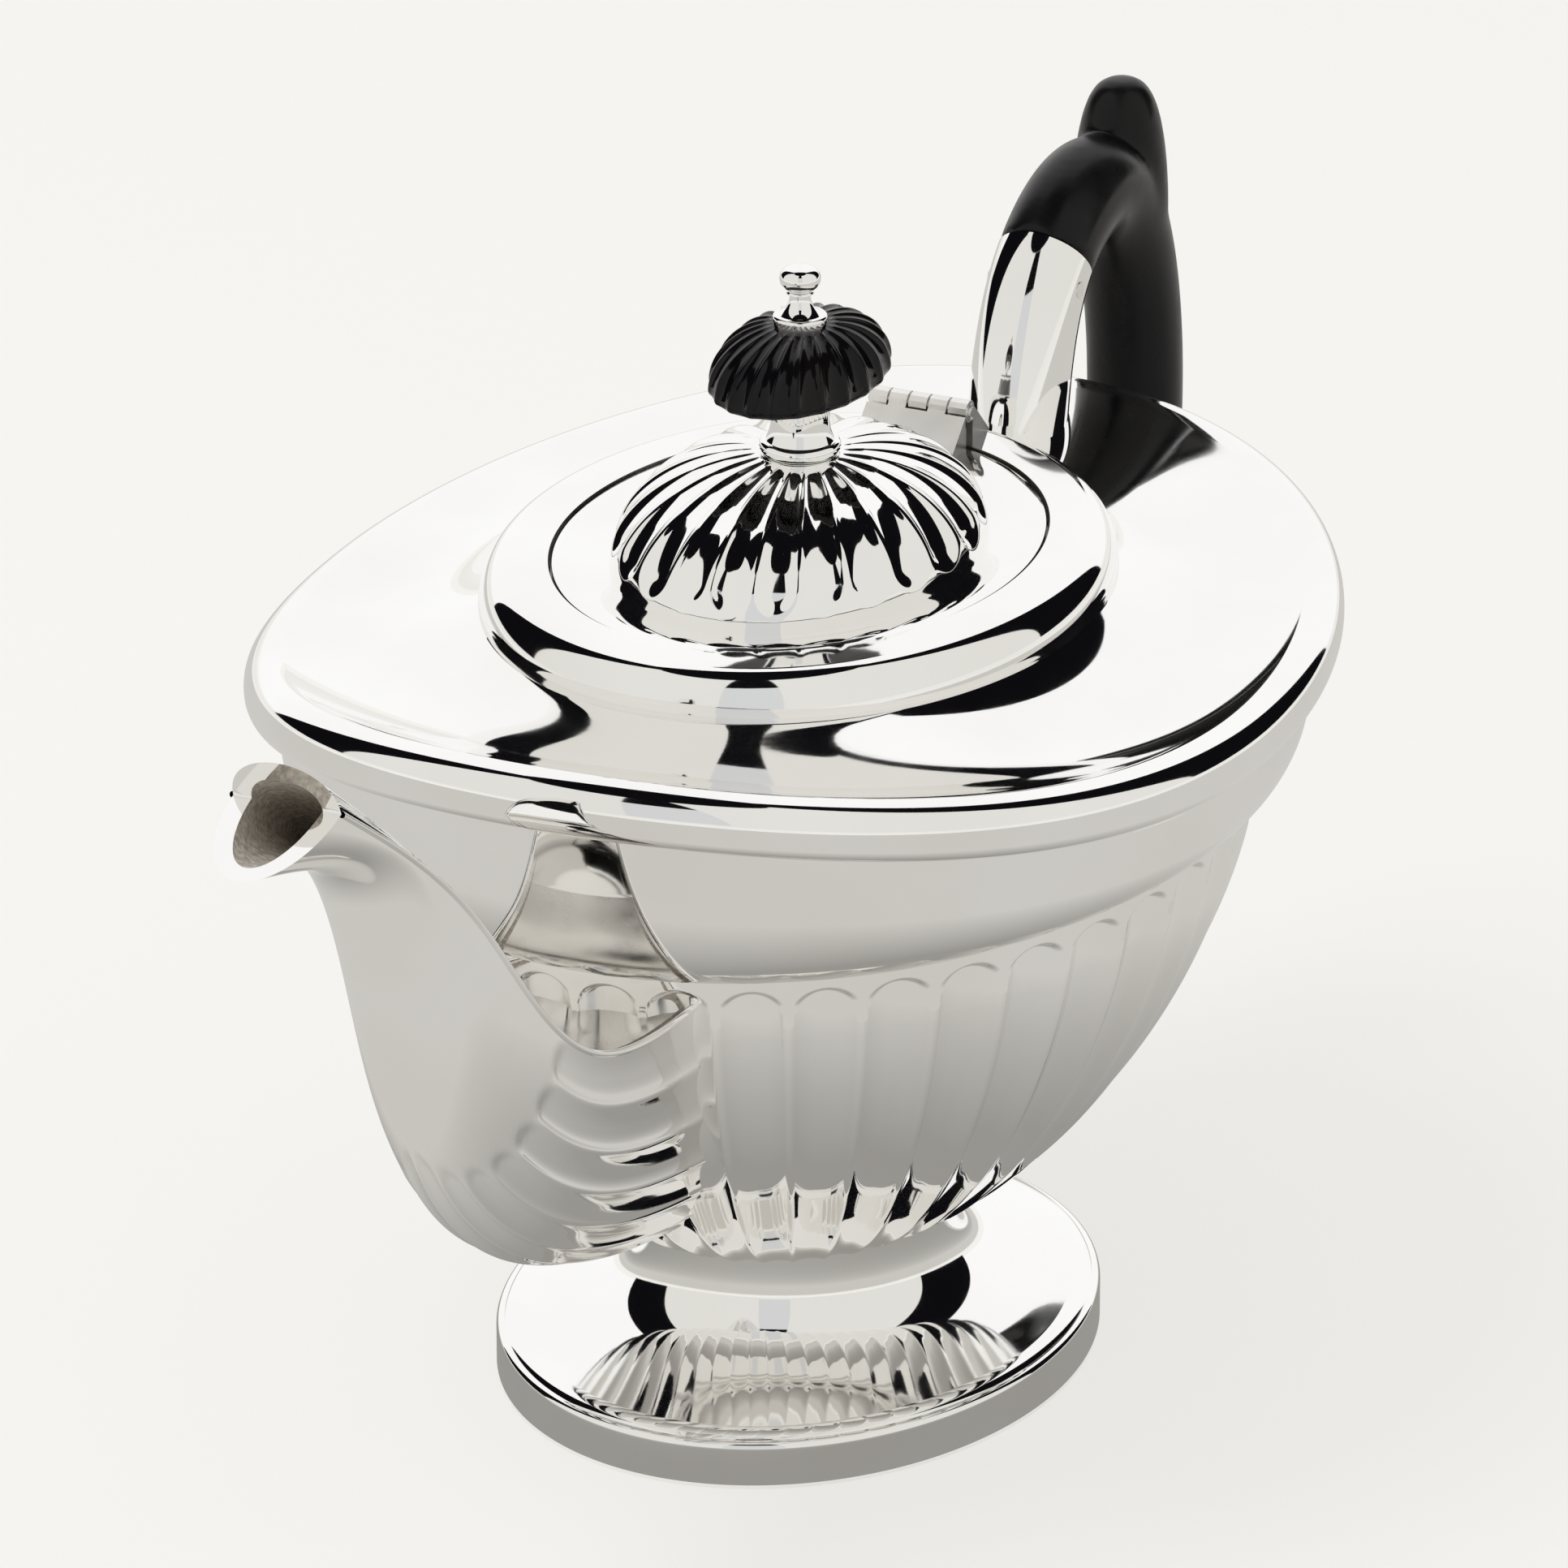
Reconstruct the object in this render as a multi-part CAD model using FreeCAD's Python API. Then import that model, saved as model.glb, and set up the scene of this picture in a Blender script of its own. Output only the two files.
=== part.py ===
import FreeCAD, Part
import math
import os
from collections import namedtuple

# Oval pedestal teapot of polished silver plate with a black handle and knob, in millimetres.
# The origin is the middle of the foot on the table. The spout points to -X, the handle to +X,
# Z is up and both sides of the XZ plane are alike. The lid swings on a hinge along Y.

# Foot and pedestal
FOOT_HALF_LENGTH = 46.7
FOOT_HALF_WIDTH = 38.0
FOOT_BAND_HEIGHT = 6.4
FOOT_BAND_WALL = 3.0
FOOT_EDGE_ROUND = 1.1
NECK_HALF_LENGTH = 23.5
NECK_HALF_WIDTH = 18.8
NECK_HEIGHT = 22.0
NECK_WAIST_SHARE = 0.45
PEDESTAL_WALL = 1.5

# Fluted bowl
BOWL_HALF_LENGTH = 69.0
BOWL_HALF_WIDTH = 57.0
BOWL_HEIGHT = 59.0
BOWL_WALL = 2.4
BOWL_CURVE_TOP = 1.6
BOWL_CURVE_BASE = 0.7
BOWL_STATIONS = 7
BOWL_FLUTES = 40
BOWL_FLUTE_DEPTH = 1.2
BOWL_ARCH_HEIGHT = 5.0

# Plain band above the flutes
BAND_STEP = 0.9
BAND_WALL = 1.8
BAND_BULGE = 5.0
BAND_LOW_BULGE_AT = 0.25
BAND_HIGH_BULGE_AT = 0.7
BAND_HIGH_BULGE_SHARE = 0.55
BAND_HEIGHT = 12.0

# Boat-shaped rim: its edge rises towards the spout and the handle
RIM_HALF_LENGTH = 87.0
RIM_HALF_WIDTH = 66.5
RIM_RISE_SPOUT = 12.5
RIM_RISE_HANDLE = 4.0
LIP_THICKNESS = 8.0
LIP_OVERHANG = 7.5
LIP_SIDE_SHARE = 0.55
LIP_CROWN = 4.2
LIP_UNDER_IN = 0.3
LIP_UNDER_DOWN = 0.55
LIP_CORNER_DOWN = 0.35
DISH_DEPTH = 4.0
DISH_OUT_AT = 0.3
DISH_IN_AT = 0.75
SHOULDER_WALL = 1.8

# Collar round the lid, and the seat inside it
COLLAR_HALF_LENGTH = 48.3
COLLAR_HALF_WIDTH = 39.3
COLLAR_RISE = 5.4
COLLAR_HEIGHT = 6.1
COLLAR_FLAT = 5.2
SEAT_WIDTH = 3.7
SEAT_DEPTH = 2.7

# Lid
LID_HALF_LENGTH = 38.6
LID_HALF_WIDTH = 29.9
LID_GAP = 0.5
LID_LIFT = 0.3
LID_PLATE_THICKNESS = 2.1
LID_VALLEY = 0.8
LID_HUMP_AT = 0.35
LID_HOLLOW_AT = 0.65
DOME_HALF_LENGTH = 30.0
DOME_HALF_WIDTH = 23.0
DOME_HEIGHT = 13.0
DOME_TOP_RADIUS = 5.6
DOME_WALL = 1.9
DOME_FLUTES = 24
DOME_FLUTE_DEPTH = 0.9
DOME_STATIONS = 6
BEZEL_CLEARANCE = 1.3
BEZEL_WALL = 1.2
BEZEL_DEPTH = 6.0

# Finial on the lid
STEM_COLLAR_RADIUS = 5.2
STEM_COLLAR_HEIGHT = 1.8
STEM_COLLAR_EDGE_SHARE = 0.3
STEM_RADIUS = 3.5
STEM_HEIGHT = 7.6
STEM_FOOT_SHARE = 0.85
STEM_WAIST_SHARE = 0.8
STEM_WAIST_AT = 0.4
KNOB_HALF_LENGTH = 16.2
KNOB_HALF_WIDTH = 10.7
KNOB_HEIGHT = 8.0
KNOB_FLUTES = 22
KNOB_FLUTE_DEPTH = 0.55
KNOB_SKIRT_SHARE = 0.72
KNOB_SKIRT_HEIGHT = 0.16
KNOB_CROWN_TURNS = (0.45, 0.85, 1.2)
KNOB_TOP_SHARE = 0.06
CAP_RADIUS = 3.5
CAP_HEIGHT = 7.8
CAP_BALL_RADIUS = 2.4
CAP_TIP_RADIUS = 0.6
CAP_WAIST_SHARE = 0.6
CAP_BORE_SHARE = 0.3
STUD_RADIUS = 1.5
STUD_CLEARANCE = 0.05
NUT_RADIUS = 3.4
NUT_HEIGHT = 2.6

# Hinge
HINGE_RISE = 4.4
KNUCKLE_RADIUS = 1.5
KNUCKLE_LENGTH = 2.8
KNUCKLE_COUNT = 5
KNUCKLE_GAP = 0.3
HINGE_PIN_RADIUS = 0.65
HINGE_PIN_CLEARANCE = 0.05
LEAF_LENGTH = 6.0
LEAF_NOSE_SHARE = 0.4
LEAF_TOP_SHARE = 0.6
LEAF_SINK_SHARE = 0.4

# Spout: ridge and keel lines seen from the side, and its width
SPOUT_SADDLE_REACH = 88.0
SPOUT_SADDLE_HEIGHT = 79.5
SPOUT_NECK_REACH = 112.0
SPOUT_NECK_HEIGHT = 105.0
SPOUT_MOUTH_REACH = 146.3
SPOUT_MOUTH_HEIGHT = 133.4
SPOUT_TIP_REACH = 159.5
SPOUT_TIP_DROP = 4.4
SPOUT_KEEL_BASE_HEIGHT = 31.0
SPOUT_BELLY_REACH = 83.0
SPOUT_BELLY_HEIGHT = 46.5
SPOUT_BREAST_REACH = 116.4
SPOUT_BREAST_HEIGHT = 78.0
SPOUT_THROAT_REACH = 131.0
SPOUT_THROAT_DROP = 17.4
SPOUT_ROOT_HALF_WIDTH = 17.0
SPOUT_NECK_HALF_WIDTH = 8.4
SPOUT_MOUTH_HALF_WIDTH = 7.0
SPOUT_TOP_CROWN = 1.5
SPOUT_MOUTH_CROWN = 6.0
SPOUT_MOUTH_LEAN = 0.35
SPOUT_WALL = 1.3
SPOUT_STATIONS = 16
SPOUT_ROOT_LEVEL = 0.9
SPOUT_RIDGE_ROOT_SHARE = 0.7
SPOUT_KEEL_ROOT_SHARE = 0.55
STRAINER_HOLE_RADIUS = 2.2
STRAINER_SPACING = 7.5
DRILL_START_SHARE = 1.1
DRILL_REACH_SHARE = 0.6

# Handle: its centre line lies so far inside or outside the end of the rim; then its sections
SOCKET_FOOT_INSET = 16.8
SOCKET_JOINT_INSET = 6.9
SOCKET_JOINT_HEIGHT = 123.0
HANDLE_SHOULDER_OUT = 8.0
HANDLE_SHOULDER_HEIGHT = 128.0
HANDLE_BACK_OUT = 25.0
HANDLE_BACK_HEIGHT = 98.0
HANDLE_HEEL_OUT = 14.0
HANDLE_HEEL_HEIGHT = 64.0
LOWER_SOCKET_LENGTH = 20.6
LOWER_JOINT_HEIGHT = 54.0
HANDLE_HALF_WIDTH = 6.5
HANDLE_HALF_DEPTH = 7.0
SOCKET_FOOT_HALF_DEPTH = 8.6
THUMB_OUT = 19.0
THUMB_HEIGHT = 140.0
THUMB_STATIONS = 6
THUMB_ROUNDING = 0.6
THUMB_LAST_TURN = math.pi * 0.47
UPPER_SOCKET_STATIONS = 6
LOWER_SOCKET_STATIONS = 4
GRIP_STATIONS = 18
TENON_SHARE = 0.62
TENON_LENGTH = 8.0
RIVET_RADIUS = 1.2

# Heights that follow from the sizes above
BOWL_TOP = NECK_HEIGHT + BOWL_HEIGHT
RIM_HEIGHT = BOWL_TOP + BAND_HEIGHT + LIP_THICKNESS / 2
COLLAR_BASE = RIM_HEIGHT + LIP_CROWN + COLLAR_RISE
COLLAR_TOP = COLLAR_BASE + COLLAR_HEIGHT
SEAT_TOP = COLLAR_TOP - SEAT_DEPTH
LID_BASE = SEAT_TOP + LID_LIFT
LID_TOP = LID_BASE + LID_PLATE_THICKNESS
DOME_BASE = LID_TOP - LID_VALLEY
DOME_TOP = DOME_BASE + DOME_HEIGHT
STEM_BASE = DOME_TOP + STEM_COLLAR_HEIGHT
KNOB_BASE = STEM_BASE + STEM_HEIGHT
CAP_BASE = KNOB_BASE + KNOB_HEIGHT
HINGE_X = LID_HALF_LENGTH + LID_GAP / 2
HINGE_HEIGHT = COLLAR_TOP + HINGE_RISE
HINGE_HALF_LENGTH = KNUCKLE_COUNT * KNUCKLE_LENGTH / 2

Vector = FreeCAD.Vector
UP = Vector(0, 0, 1)
ACROSS = Vector(0, 1, 0)
RING_SIDES = 32
TURNED_SIDES = 24
BAR_SIDES = 12
CURVE_STEPS = 4
FLUTE_STEPS = 3
SECTION_SIDES = 12
TURN = 2 * math.pi
ROUND_SHARE = 0.55
FLATNESS = 1e-7

# An oval lies level at its height; lift is the share of the rim's rise that it follows.
Oval = namedtuple("Oval", "length width height lift")


def grown(oval, out=0.0, up=0.0):
    """The oval moved outwards and upwards."""
    return Oval(oval.length + out, oval.width + out, oval.height + up, oval.lift)


def between(first, second, share, up=0.0):
    """The oval part of the way from one oval to another."""
    mixed = [a + (b - a) * share for a, b in zip(first, second)]
    return grown(Oval(*mixed), up=up)


def rim_rise(angle):
    """How far the boat-shaped rim has risen at this angle round the pot."""
    along = math.cos(angle)
    rise = RIM_RISE_HANDLE if along > 0 else RIM_RISE_SPOUT
    return rise * along * along


def oval_point(oval, angle):
    height = oval.height + oval.lift * rim_rise(angle)
    return Vector(oval.length * math.cos(angle), oval.width * math.sin(angle), height)


def bezier(poles, share):
    """The point of a Bezier curve, given as vectors or ovals, at a share of its length."""
    while len(poles) > 1:
        poles = [blend(first, second, share) for first, second in zip(poles, poles[1:])]
    return poles[0]


def blend(first, second, share):
    if isinstance(first, Oval):
        return between(first, second, share)
    return first + (second - first) * share


def facets(edges, steps):
    """The corners along a closed outline of edges; one with more than two poles is a curve."""
    corners = []
    for poles in edges:
        pieces = steps if len(poles) > 2 else 1
        corners += [bezier(poles, piece / pieces) for piece in range(pieces)]
    return corners


def flat_face(points):
    return Part.Face(Part.makePolygon(points + points[:1]))


def flat_patch(corners):
    """One flat face on four corners, or two triangles where the corners don't lie in a plane."""
    first, second, third, fourth = corners
    normal = (second - first).cross(third - first)
    if abs(normal.dot(fourth - first)) < FLATNESS * normal.Length:
        return [flat_face(corners)]
    return [flat_face([first, second, third]), flat_face([first, third, fourth])]


def skin_between(low, high):
    """The flat faces between two closed outlines of equally many points."""
    faces = []
    for index in range(len(low)):
        after = (index + 1) % len(low)
        faces += flat_patch([low[index], low[after], high[after], high[index]])
    return faces


def oval_ring(edges, sides=RING_SIDES):
    """A ring round the pot whose closed profile is the given edges, each a list of ovals."""
    faces = []
    profile = facets(edges, CURVE_STEPS)
    for side in range(sides):
        near = [oval_point(oval, TURN * side / sides) for oval in profile]
        far = [oval_point(oval, TURN * ((side + 1) % sides) / sides) for oval in profile]
        faces += skin_between(near, far)
    return Part.makeSolid(Part.makeShell(faces))


def end_cap(outline):
    """One flat face on an outline, or triangles to its middle where it doesn't lie in a plane."""
    after = outline[1:] + outline[:1]
    if Part.makePolygon(outline + outline[:1]).findPlane():
        return [flat_face(outline)]
    middle = sum(outline, Vector()) * (1 / len(outline))
    return [flat_face([near, far, middle]) for near, far in zip(outline, after)]


def stacked(outlines):
    """A solid skinned over level or tilted outlines, one after the other."""
    faces = end_cap(outlines[0]) + end_cap(outlines[-1])
    for low, high in zip(outlines, outlines[1:]):
        faces += skin_between(low, high)
    return Part.makeSolid(Part.makeShell(faces))


def fluted_oval(oval, count, depth):
    """A level oval outline made of hollow flutes that meet at sharp ridges."""
    edges = []
    for flute in range(count):
        start = oval_point(oval, TURN * flute / count)
        middle = oval_point(grown(oval, -depth), TURN * (flute + 0.5) / count)
        end = oval_point(oval, TURN * (flute + 1) / count)
        edges.append([start, middle * 2 - (start + end) * 0.5, end])
    return facets(edges, FLUTE_STEPS)


def plain_oval(oval, sides=RING_SIDES):
    """A level oval outline without flutes."""
    return [oval_point(oval, TURN * side / sides) for side in range(sides)]


def level_circle(radius, height):
    return Oval(radius, radius, height, 0.0)


def oval_section(centre, first, second, sides=SECTION_SIDES):
    """An oval outline in any plane, from its centre and its two half axes."""
    turns = [TURN * side / sides for side in range(sides)]
    return [centre + first * math.cos(turn) + second * math.sin(turn) for turn in turns]


def side_plate(outline, half_width):
    """A plate with an outline of (x, z) points, spread evenly to both sides of the XZ plane."""
    points = [Vector(x, -half_width, z) for x, z in outline]
    return flat_face(points).extrude(ACROSS * 2 * half_width)


def cross_bar(radius, x, z, start, end):
    """A round bar along Y."""
    return Part.makeCylinder(radius, end - start, Vector(x, start, z), ACROSS)


def faceted_bar(radius, x, z, start, end):
    """A bar along Y with narrow flat sides."""
    outline = oval_section(Vector(x, start, z), Vector(radius, 0, 0), UP * radius, BAR_SIDES)
    return flat_face(outline).extrude(ACROSS * (end - start))


def foot_rim():
    edge = Oval(FOOT_HALF_LENGTH, FOOT_HALF_WIDTH, 0.0, 0.0)
    shoulder = grown(edge, up=FOOT_BAND_HEIGHT - FOOT_EDGE_ROUND)
    corner = grown(edge, up=FOOT_BAND_HEIGHT)
    top = grown(corner, -FOOT_EDGE_ROUND)
    outline = facets([[edge, shoulder], [shoulder, corner, top]], CURVE_STEPS) + [top]
    hole = flat_face(plain_oval(grown(edge, -FOOT_BAND_WALL))).extrude(UP * FOOT_BAND_HEIGHT)
    return stacked([plain_oval(oval) for oval in outline]).cut(hole)


def neck_oval():
    return Oval(NECK_HALF_LENGTH, NECK_HALF_WIDTH, NECK_HEIGHT, 0.0)


def foot_pedestal():
    """The hollow trumpet from the foot rim up to the bowl."""
    base = Oval(FOOT_HALF_LENGTH - FOOT_EDGE_ROUND, FOOT_HALF_WIDTH - FOOT_EDGE_ROUND, FOOT_BAND_HEIGHT, 0.0)
    edge = grown(base, -FOOT_EDGE_ROUND / 2, FOOT_EDGE_ROUND / 2)
    neck = neck_oval()
    waist = grown(neck, up=-NECK_HEIGHT * NECK_WAIST_SHARE)
    spread = grown(neck, FOOT_BAND_WALL, FOOT_BAND_HEIGHT + PEDESTAL_WALL - NECK_HEIGHT)
    inner_neck = grown(neck, -PEDESTAL_WALL)
    inner_base = grown(base, -FOOT_BAND_WALL)
    inner_waist = grown(waist, -PEDESTAL_WALL)
    inner_spread = grown(spread, -PEDESTAL_WALL, -PEDESTAL_WALL)
    return oval_ring([
        [base, edge], [edge, spread, waist, neck], [neck, inner_neck],
        [inner_neck, inner_waist, inner_spread, inner_base], [inner_base, base],
    ])


def bowl_oval(share):
    """The bowl's outer oval at a share of its height."""
    swell = (1 - (1 - share) ** BOWL_CURVE_TOP) ** BOWL_CURVE_BASE
    length = NECK_HALF_LENGTH + (BOWL_HALF_LENGTH - NECK_HALF_LENGTH) * swell
    width = NECK_HALF_WIDTH + (BOWL_HALF_WIDTH - NECK_HALF_WIDTH) * swell
    return Oval(length, width, NECK_HEIGHT + BOWL_HEIGHT * share, 0.0)


def bowl_shares():
    """Shares of the bowl's height, closer together where it turns in to the neck."""
    arch = 1 - BOWL_ARCH_HEIGHT / BOWL_HEIGHT
    return [arch * (step / BOWL_STATIONS) ** 2 for step in range(BOWL_STATIONS)] + [arch]


def bowl_outside():
    """The fluted outside; the flutes fade out in arches below the band."""
    outlines = []
    for share in bowl_shares():
        oval = bowl_oval(share)
        depth = BOWL_FLUTE_DEPTH * min(1.0, oval.width / BOWL_HALF_WIDTH)
        outlines.append(fluted_oval(oval, BOWL_FLUTES, depth))
    outlines.append(fluted_oval(bowl_oval(1.0), BOWL_FLUTES, 0.0))
    return stacked(outlines)


def bowl_inside():
    ovals = [grown(bowl_oval(share), -BOWL_WALL, BOWL_WALL * (1 - share)) for share in bowl_shares()]
    top = grown(bowl_oval(1.0), -BOWL_WALL)
    return stacked([plain_oval(oval) for oval in ovals + [top, grown(top, up=BOWL_WALL)]])


def strainer_drills():
    """A hexagonal patch of drills through the bowl wall behind the spout."""
    drills = []
    middle = (SPOUT_SADDLE_HEIGHT + SPOUT_BELLY_HEIGHT) / 2
    for row in (-1, 0, 1):
        holes = 3 - abs(row)
        for hole in range(holes):
            across = (hole - (holes - 1) / 2) * STRAINER_SPACING
            start = Vector(-BOWL_HALF_LENGTH * DRILL_START_SHARE, across, middle + row * STRAINER_SPACING)
            outline = oval_section(start, ACROSS * STRAINER_HOLE_RADIUS, UP * STRAINER_HOLE_RADIUS, BAR_SIDES)
            drills.append(flat_face(outline).extrude(Vector(BOWL_HALF_LENGTH * DRILL_REACH_SHARE, 0, 0)))
    return drills


def body_bowl(outside):
    return outside.cut(bowl_inside()).cut(strainer_drills())


def band_top():
    """The oval where the band meets the underside of the rim's lip."""
    length = RIM_HALF_LENGTH - LIP_OVERHANG
    width = RIM_HALF_WIDTH - LIP_OVERHANG * LIP_SIDE_SHARE
    return Oval(length, width, BOWL_TOP + BAND_HEIGHT, 1.0)


def body_band():
    foot = grown(bowl_oval(1.0), BAND_STEP)
    top = band_top()
    low_bulge = grown(between(foot, top, BAND_LOW_BULGE_AT), BAND_BULGE)
    high_bulge = grown(between(foot, top, BAND_HIGH_BULGE_AT), BAND_BULGE * BAND_HIGH_BULGE_SHARE)
    inner_top = grown(top, -BAND_WALL)
    inner_foot = grown(foot, -BAND_WALL)
    inner_low = grown(low_bulge, -BAND_WALL)
    inner_high = grown(high_bulge, -BAND_WALL)
    return oval_ring([
        [foot, low_bulge, high_bulge, top], [top, inner_top],
        [inner_top, inner_high, inner_low, inner_foot], [inner_foot, foot],
    ])


def collar_foot():
    return Oval(COLLAR_HALF_LENGTH, COLLAR_HALF_WIDTH, COLLAR_BASE, 0.0)


def lid_mouth(height):
    """The oval opening that the lid drops into."""
    return Oval(LID_HALF_LENGTH + LID_GAP, LID_HALF_WIDTH + LID_GAP, height, 0.0)


def body_shoulder():
    """The rolled lip and the dished shoulder that runs in to the collar."""
    joint = band_top()
    widest = Oval(RIM_HALF_LENGTH, RIM_HALF_WIDTH, RIM_HEIGHT, 1.0)
    under = grown(widest, -LIP_OVERHANG * LIP_UNDER_IN, -LIP_THICKNESS * LIP_UNDER_DOWN)
    corner = grown(widest, up=-LIP_THICKNESS * LIP_CORNER_DOWN)
    crest = grown(widest, -LIP_CROWN, LIP_CROWN)
    collar = collar_foot()
    dish_out = grown(between(crest, collar, DISH_OUT_AT), up=-DISH_DEPTH)
    dish_in = grown(between(crest, collar, DISH_IN_AT), up=-DISH_DEPTH)
    mouth = lid_mouth(COLLAR_BASE)
    mouth_under = grown(mouth, up=-SHOULDER_WALL)
    inner_joint = grown(joint, -BAND_WALL)
    ceiling_in = grown(dish_in, up=-SHOULDER_WALL)
    ceiling_out = grown(dish_out, up=-SHOULDER_WALL * 2)
    return oval_ring([
        [joint, under, corner, widest], [widest, grown(widest, up=LIP_CROWN), crest],
        [crest, dish_out, dish_in, collar], [collar, mouth], [mouth, mouth_under],
        [mouth_under, ceiling_in, ceiling_out, inner_joint], [inner_joint, joint],
    ])


def lid_collar():
    """The moulding round the lid: a flat edge that rolls over into an upright face."""
    foot = collar_foot()
    mouth = lid_mouth(COLLAR_TOP)
    edge = grown(mouth, COLLAR_FLAT)
    corner = grown(foot, up=COLLAR_HEIGHT)
    roll = [foot, between(foot, corner, ROUND_SHARE), between(edge, corner, ROUND_SHARE), edge]
    mouth_foot = lid_mouth(COLLAR_BASE)
    return oval_ring([roll, [edge, mouth], [mouth, mouth_foot], [mouth_foot, foot]])


def lid_seat():
    """The ledge inside the collar that carries the lid's edge."""
    outer_top = lid_mouth(SEAT_TOP)
    outer = lid_mouth(COLLAR_BASE)
    inner_top = grown(outer_top, -SEAT_WIDTH)
    inner = grown(outer, -SEAT_WIDTH)
    return oval_ring([[outer, outer_top], [outer_top, inner_top], [inner_top, inner], [inner, outer]])


def dome_foot():
    return Oval(DOME_HALF_LENGTH, DOME_HALF_WIDTH, DOME_BASE, 0.0)


def lid_plate():
    """The lid's flat rim, slightly hollow round the foot of the dome."""
    base = Oval(LID_HALF_LENGTH, LID_HALF_WIDTH, LID_BASE, 0.0)
    edge = grown(base, up=LID_PLATE_THICKNESS)
    dome = dome_foot()
    inner = grown(dome, -DOME_WALL)
    hump = grown(between(edge, dome, LID_HUMP_AT), up=LID_VALLEY)
    hollow = grown(between(edge, dome, LID_HOLLOW_AT), up=-LID_VALLEY / 2)
    inner_base = grown(inner, up=LID_BASE - DOME_BASE)
    top = [edge, hump, hollow, dome]
    return oval_ring([[base, edge], top, [dome, inner], [inner, inner_base], [inner_base, base]])


def lid_bezel():
    """The upright ring under the lid that drops into the seat's opening."""
    seat = grown(lid_mouth(LID_BASE), -SEAT_WIDTH)
    outer_top = grown(seat, -BEZEL_CLEARANCE)
    outer = grown(outer_top, up=-BEZEL_DEPTH)
    inner_top = grown(outer_top, -BEZEL_WALL)
    inner = grown(outer, -BEZEL_WALL)
    return oval_ring([[outer, outer_top], [outer_top, inner_top], [inner_top, inner], [inner, outer]])


def dome_oval(share, inset=0.0):
    """The dome's oval at a share of a quarter turn from its foot to its top."""
    turn = share * math.pi / 2
    length = DOME_TOP_RADIUS + (DOME_HALF_LENGTH - DOME_TOP_RADIUS) * math.cos(turn)
    width = DOME_TOP_RADIUS + (DOME_HALF_WIDTH - DOME_TOP_RADIUS) * math.cos(turn)
    return Oval(length - inset, width - inset, DOME_BASE + (DOME_HEIGHT - inset) * math.sin(turn), 0.0)


def lid_dome():
    shares = [step / DOME_STATIONS for step in range(DOME_STATIONS + 1)]
    outside = []
    for share in shares:
        depth = DOME_FLUTE_DEPTH * math.cos(share * math.pi / 2) ** 0.5 if share < 1 else 0.0
        outside.append(fluted_oval(dome_oval(share), DOME_FLUTES, depth))
    inside = [plain_oval(grown(dome_oval(0.0, DOME_WALL), up=-DOME_WALL))]
    inside += [plain_oval(dome_oval(share, DOME_WALL)) for share in shares]
    stud_hole = Part.makeCylinder(STUD_RADIUS + STUD_CLEARANCE, DOME_HEIGHT * 2, Vector(0, 0, DOME_BASE))
    shell = stacked(outside).cut(stacked(inside))
    return shell.cut(stud_hole)


def finial_collar():
    """The small turned ring on top of the dome."""
    bore = STUD_RADIUS + STUD_CLEARANCE
    edge = STEM_COLLAR_HEIGHT * STEM_COLLAR_EDGE_SHARE
    foot = level_circle(STEM_COLLAR_RADIUS - edge, DOME_TOP)
    low = level_circle(STEM_COLLAR_RADIUS, DOME_TOP + edge)
    high = level_circle(STEM_COLLAR_RADIUS, STEM_BASE - edge)
    top = level_circle(STEM_COLLAR_RADIUS - edge, STEM_BASE)
    bore_top = level_circle(bore, STEM_BASE)
    bore_foot = level_circle(bore, DOME_TOP)
    edges = [[foot, low], [low, high], [high, top], [top, bore_top], [bore_top, bore_foot], [bore_foot, foot]]
    return oval_ring(edges, TURNED_SIDES)


def finial_stem():
    """The waisted silver stem between the dome and the knob."""
    bore = STUD_RADIUS + STUD_CLEARANCE
    foot = level_circle(STEM_COLLAR_RADIUS * STEM_FOOT_SHARE, STEM_BASE)
    waist = level_circle(STEM_RADIUS * STEM_WAIST_SHARE, STEM_BASE + STEM_HEIGHT * STEM_WAIST_AT)
    head = level_circle(STEM_COLLAR_RADIUS, KNOB_BASE)
    bore_top = level_circle(bore, KNOB_BASE)
    bore_foot = level_circle(bore, STEM_BASE)
    edges = [[foot, waist, head], [head, bore_top], [bore_top, bore_foot], [bore_foot, foot]]
    return oval_ring(edges, TURNED_SIDES)


def knob_oval(length_share, height_share):
    """An oval of the knob, round at its top where the cap sits."""
    length = CAP_RADIUS + (KNOB_HALF_LENGTH - CAP_RADIUS) * length_share
    width = CAP_RADIUS + (KNOB_HALF_WIDTH - CAP_RADIUS) * length_share
    return Oval(length, width, KNOB_BASE + KNOB_HEIGHT * height_share, 0.0)


def finial_knob():
    """The black mushroom knob with hollow flutes over its top."""
    skirt = [knob_oval(KNOB_SKIRT_SHARE, 0.0), knob_oval(1.0, KNOB_SKIRT_HEIGHT)]
    low, rise = KNOB_SKIRT_HEIGHT, 1 - KNOB_SKIRT_HEIGHT
    crown = [knob_oval(math.cos(turn), low + rise * math.sin(turn)) for turn in KNOB_CROWN_TURNS]
    depth_share = KNOB_FLUTE_DEPTH / KNOB_HALF_WIDTH
    outlines = [fluted_oval(oval, KNOB_FLUTES, depth_share * oval.width) for oval in skirt + crown]
    outlines.append(fluted_oval(knob_oval(KNOB_TOP_SHARE, 1.0), KNOB_FLUTES, 0.0))
    hole_base = Vector(0, 0, KNOB_BASE - KNOB_HEIGHT / 2)
    return stacked(outlines).cut(Part.makeCylinder(STUD_RADIUS + STUD_CLEARANCE, KNOB_HEIGHT * 2, hole_base))


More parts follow.
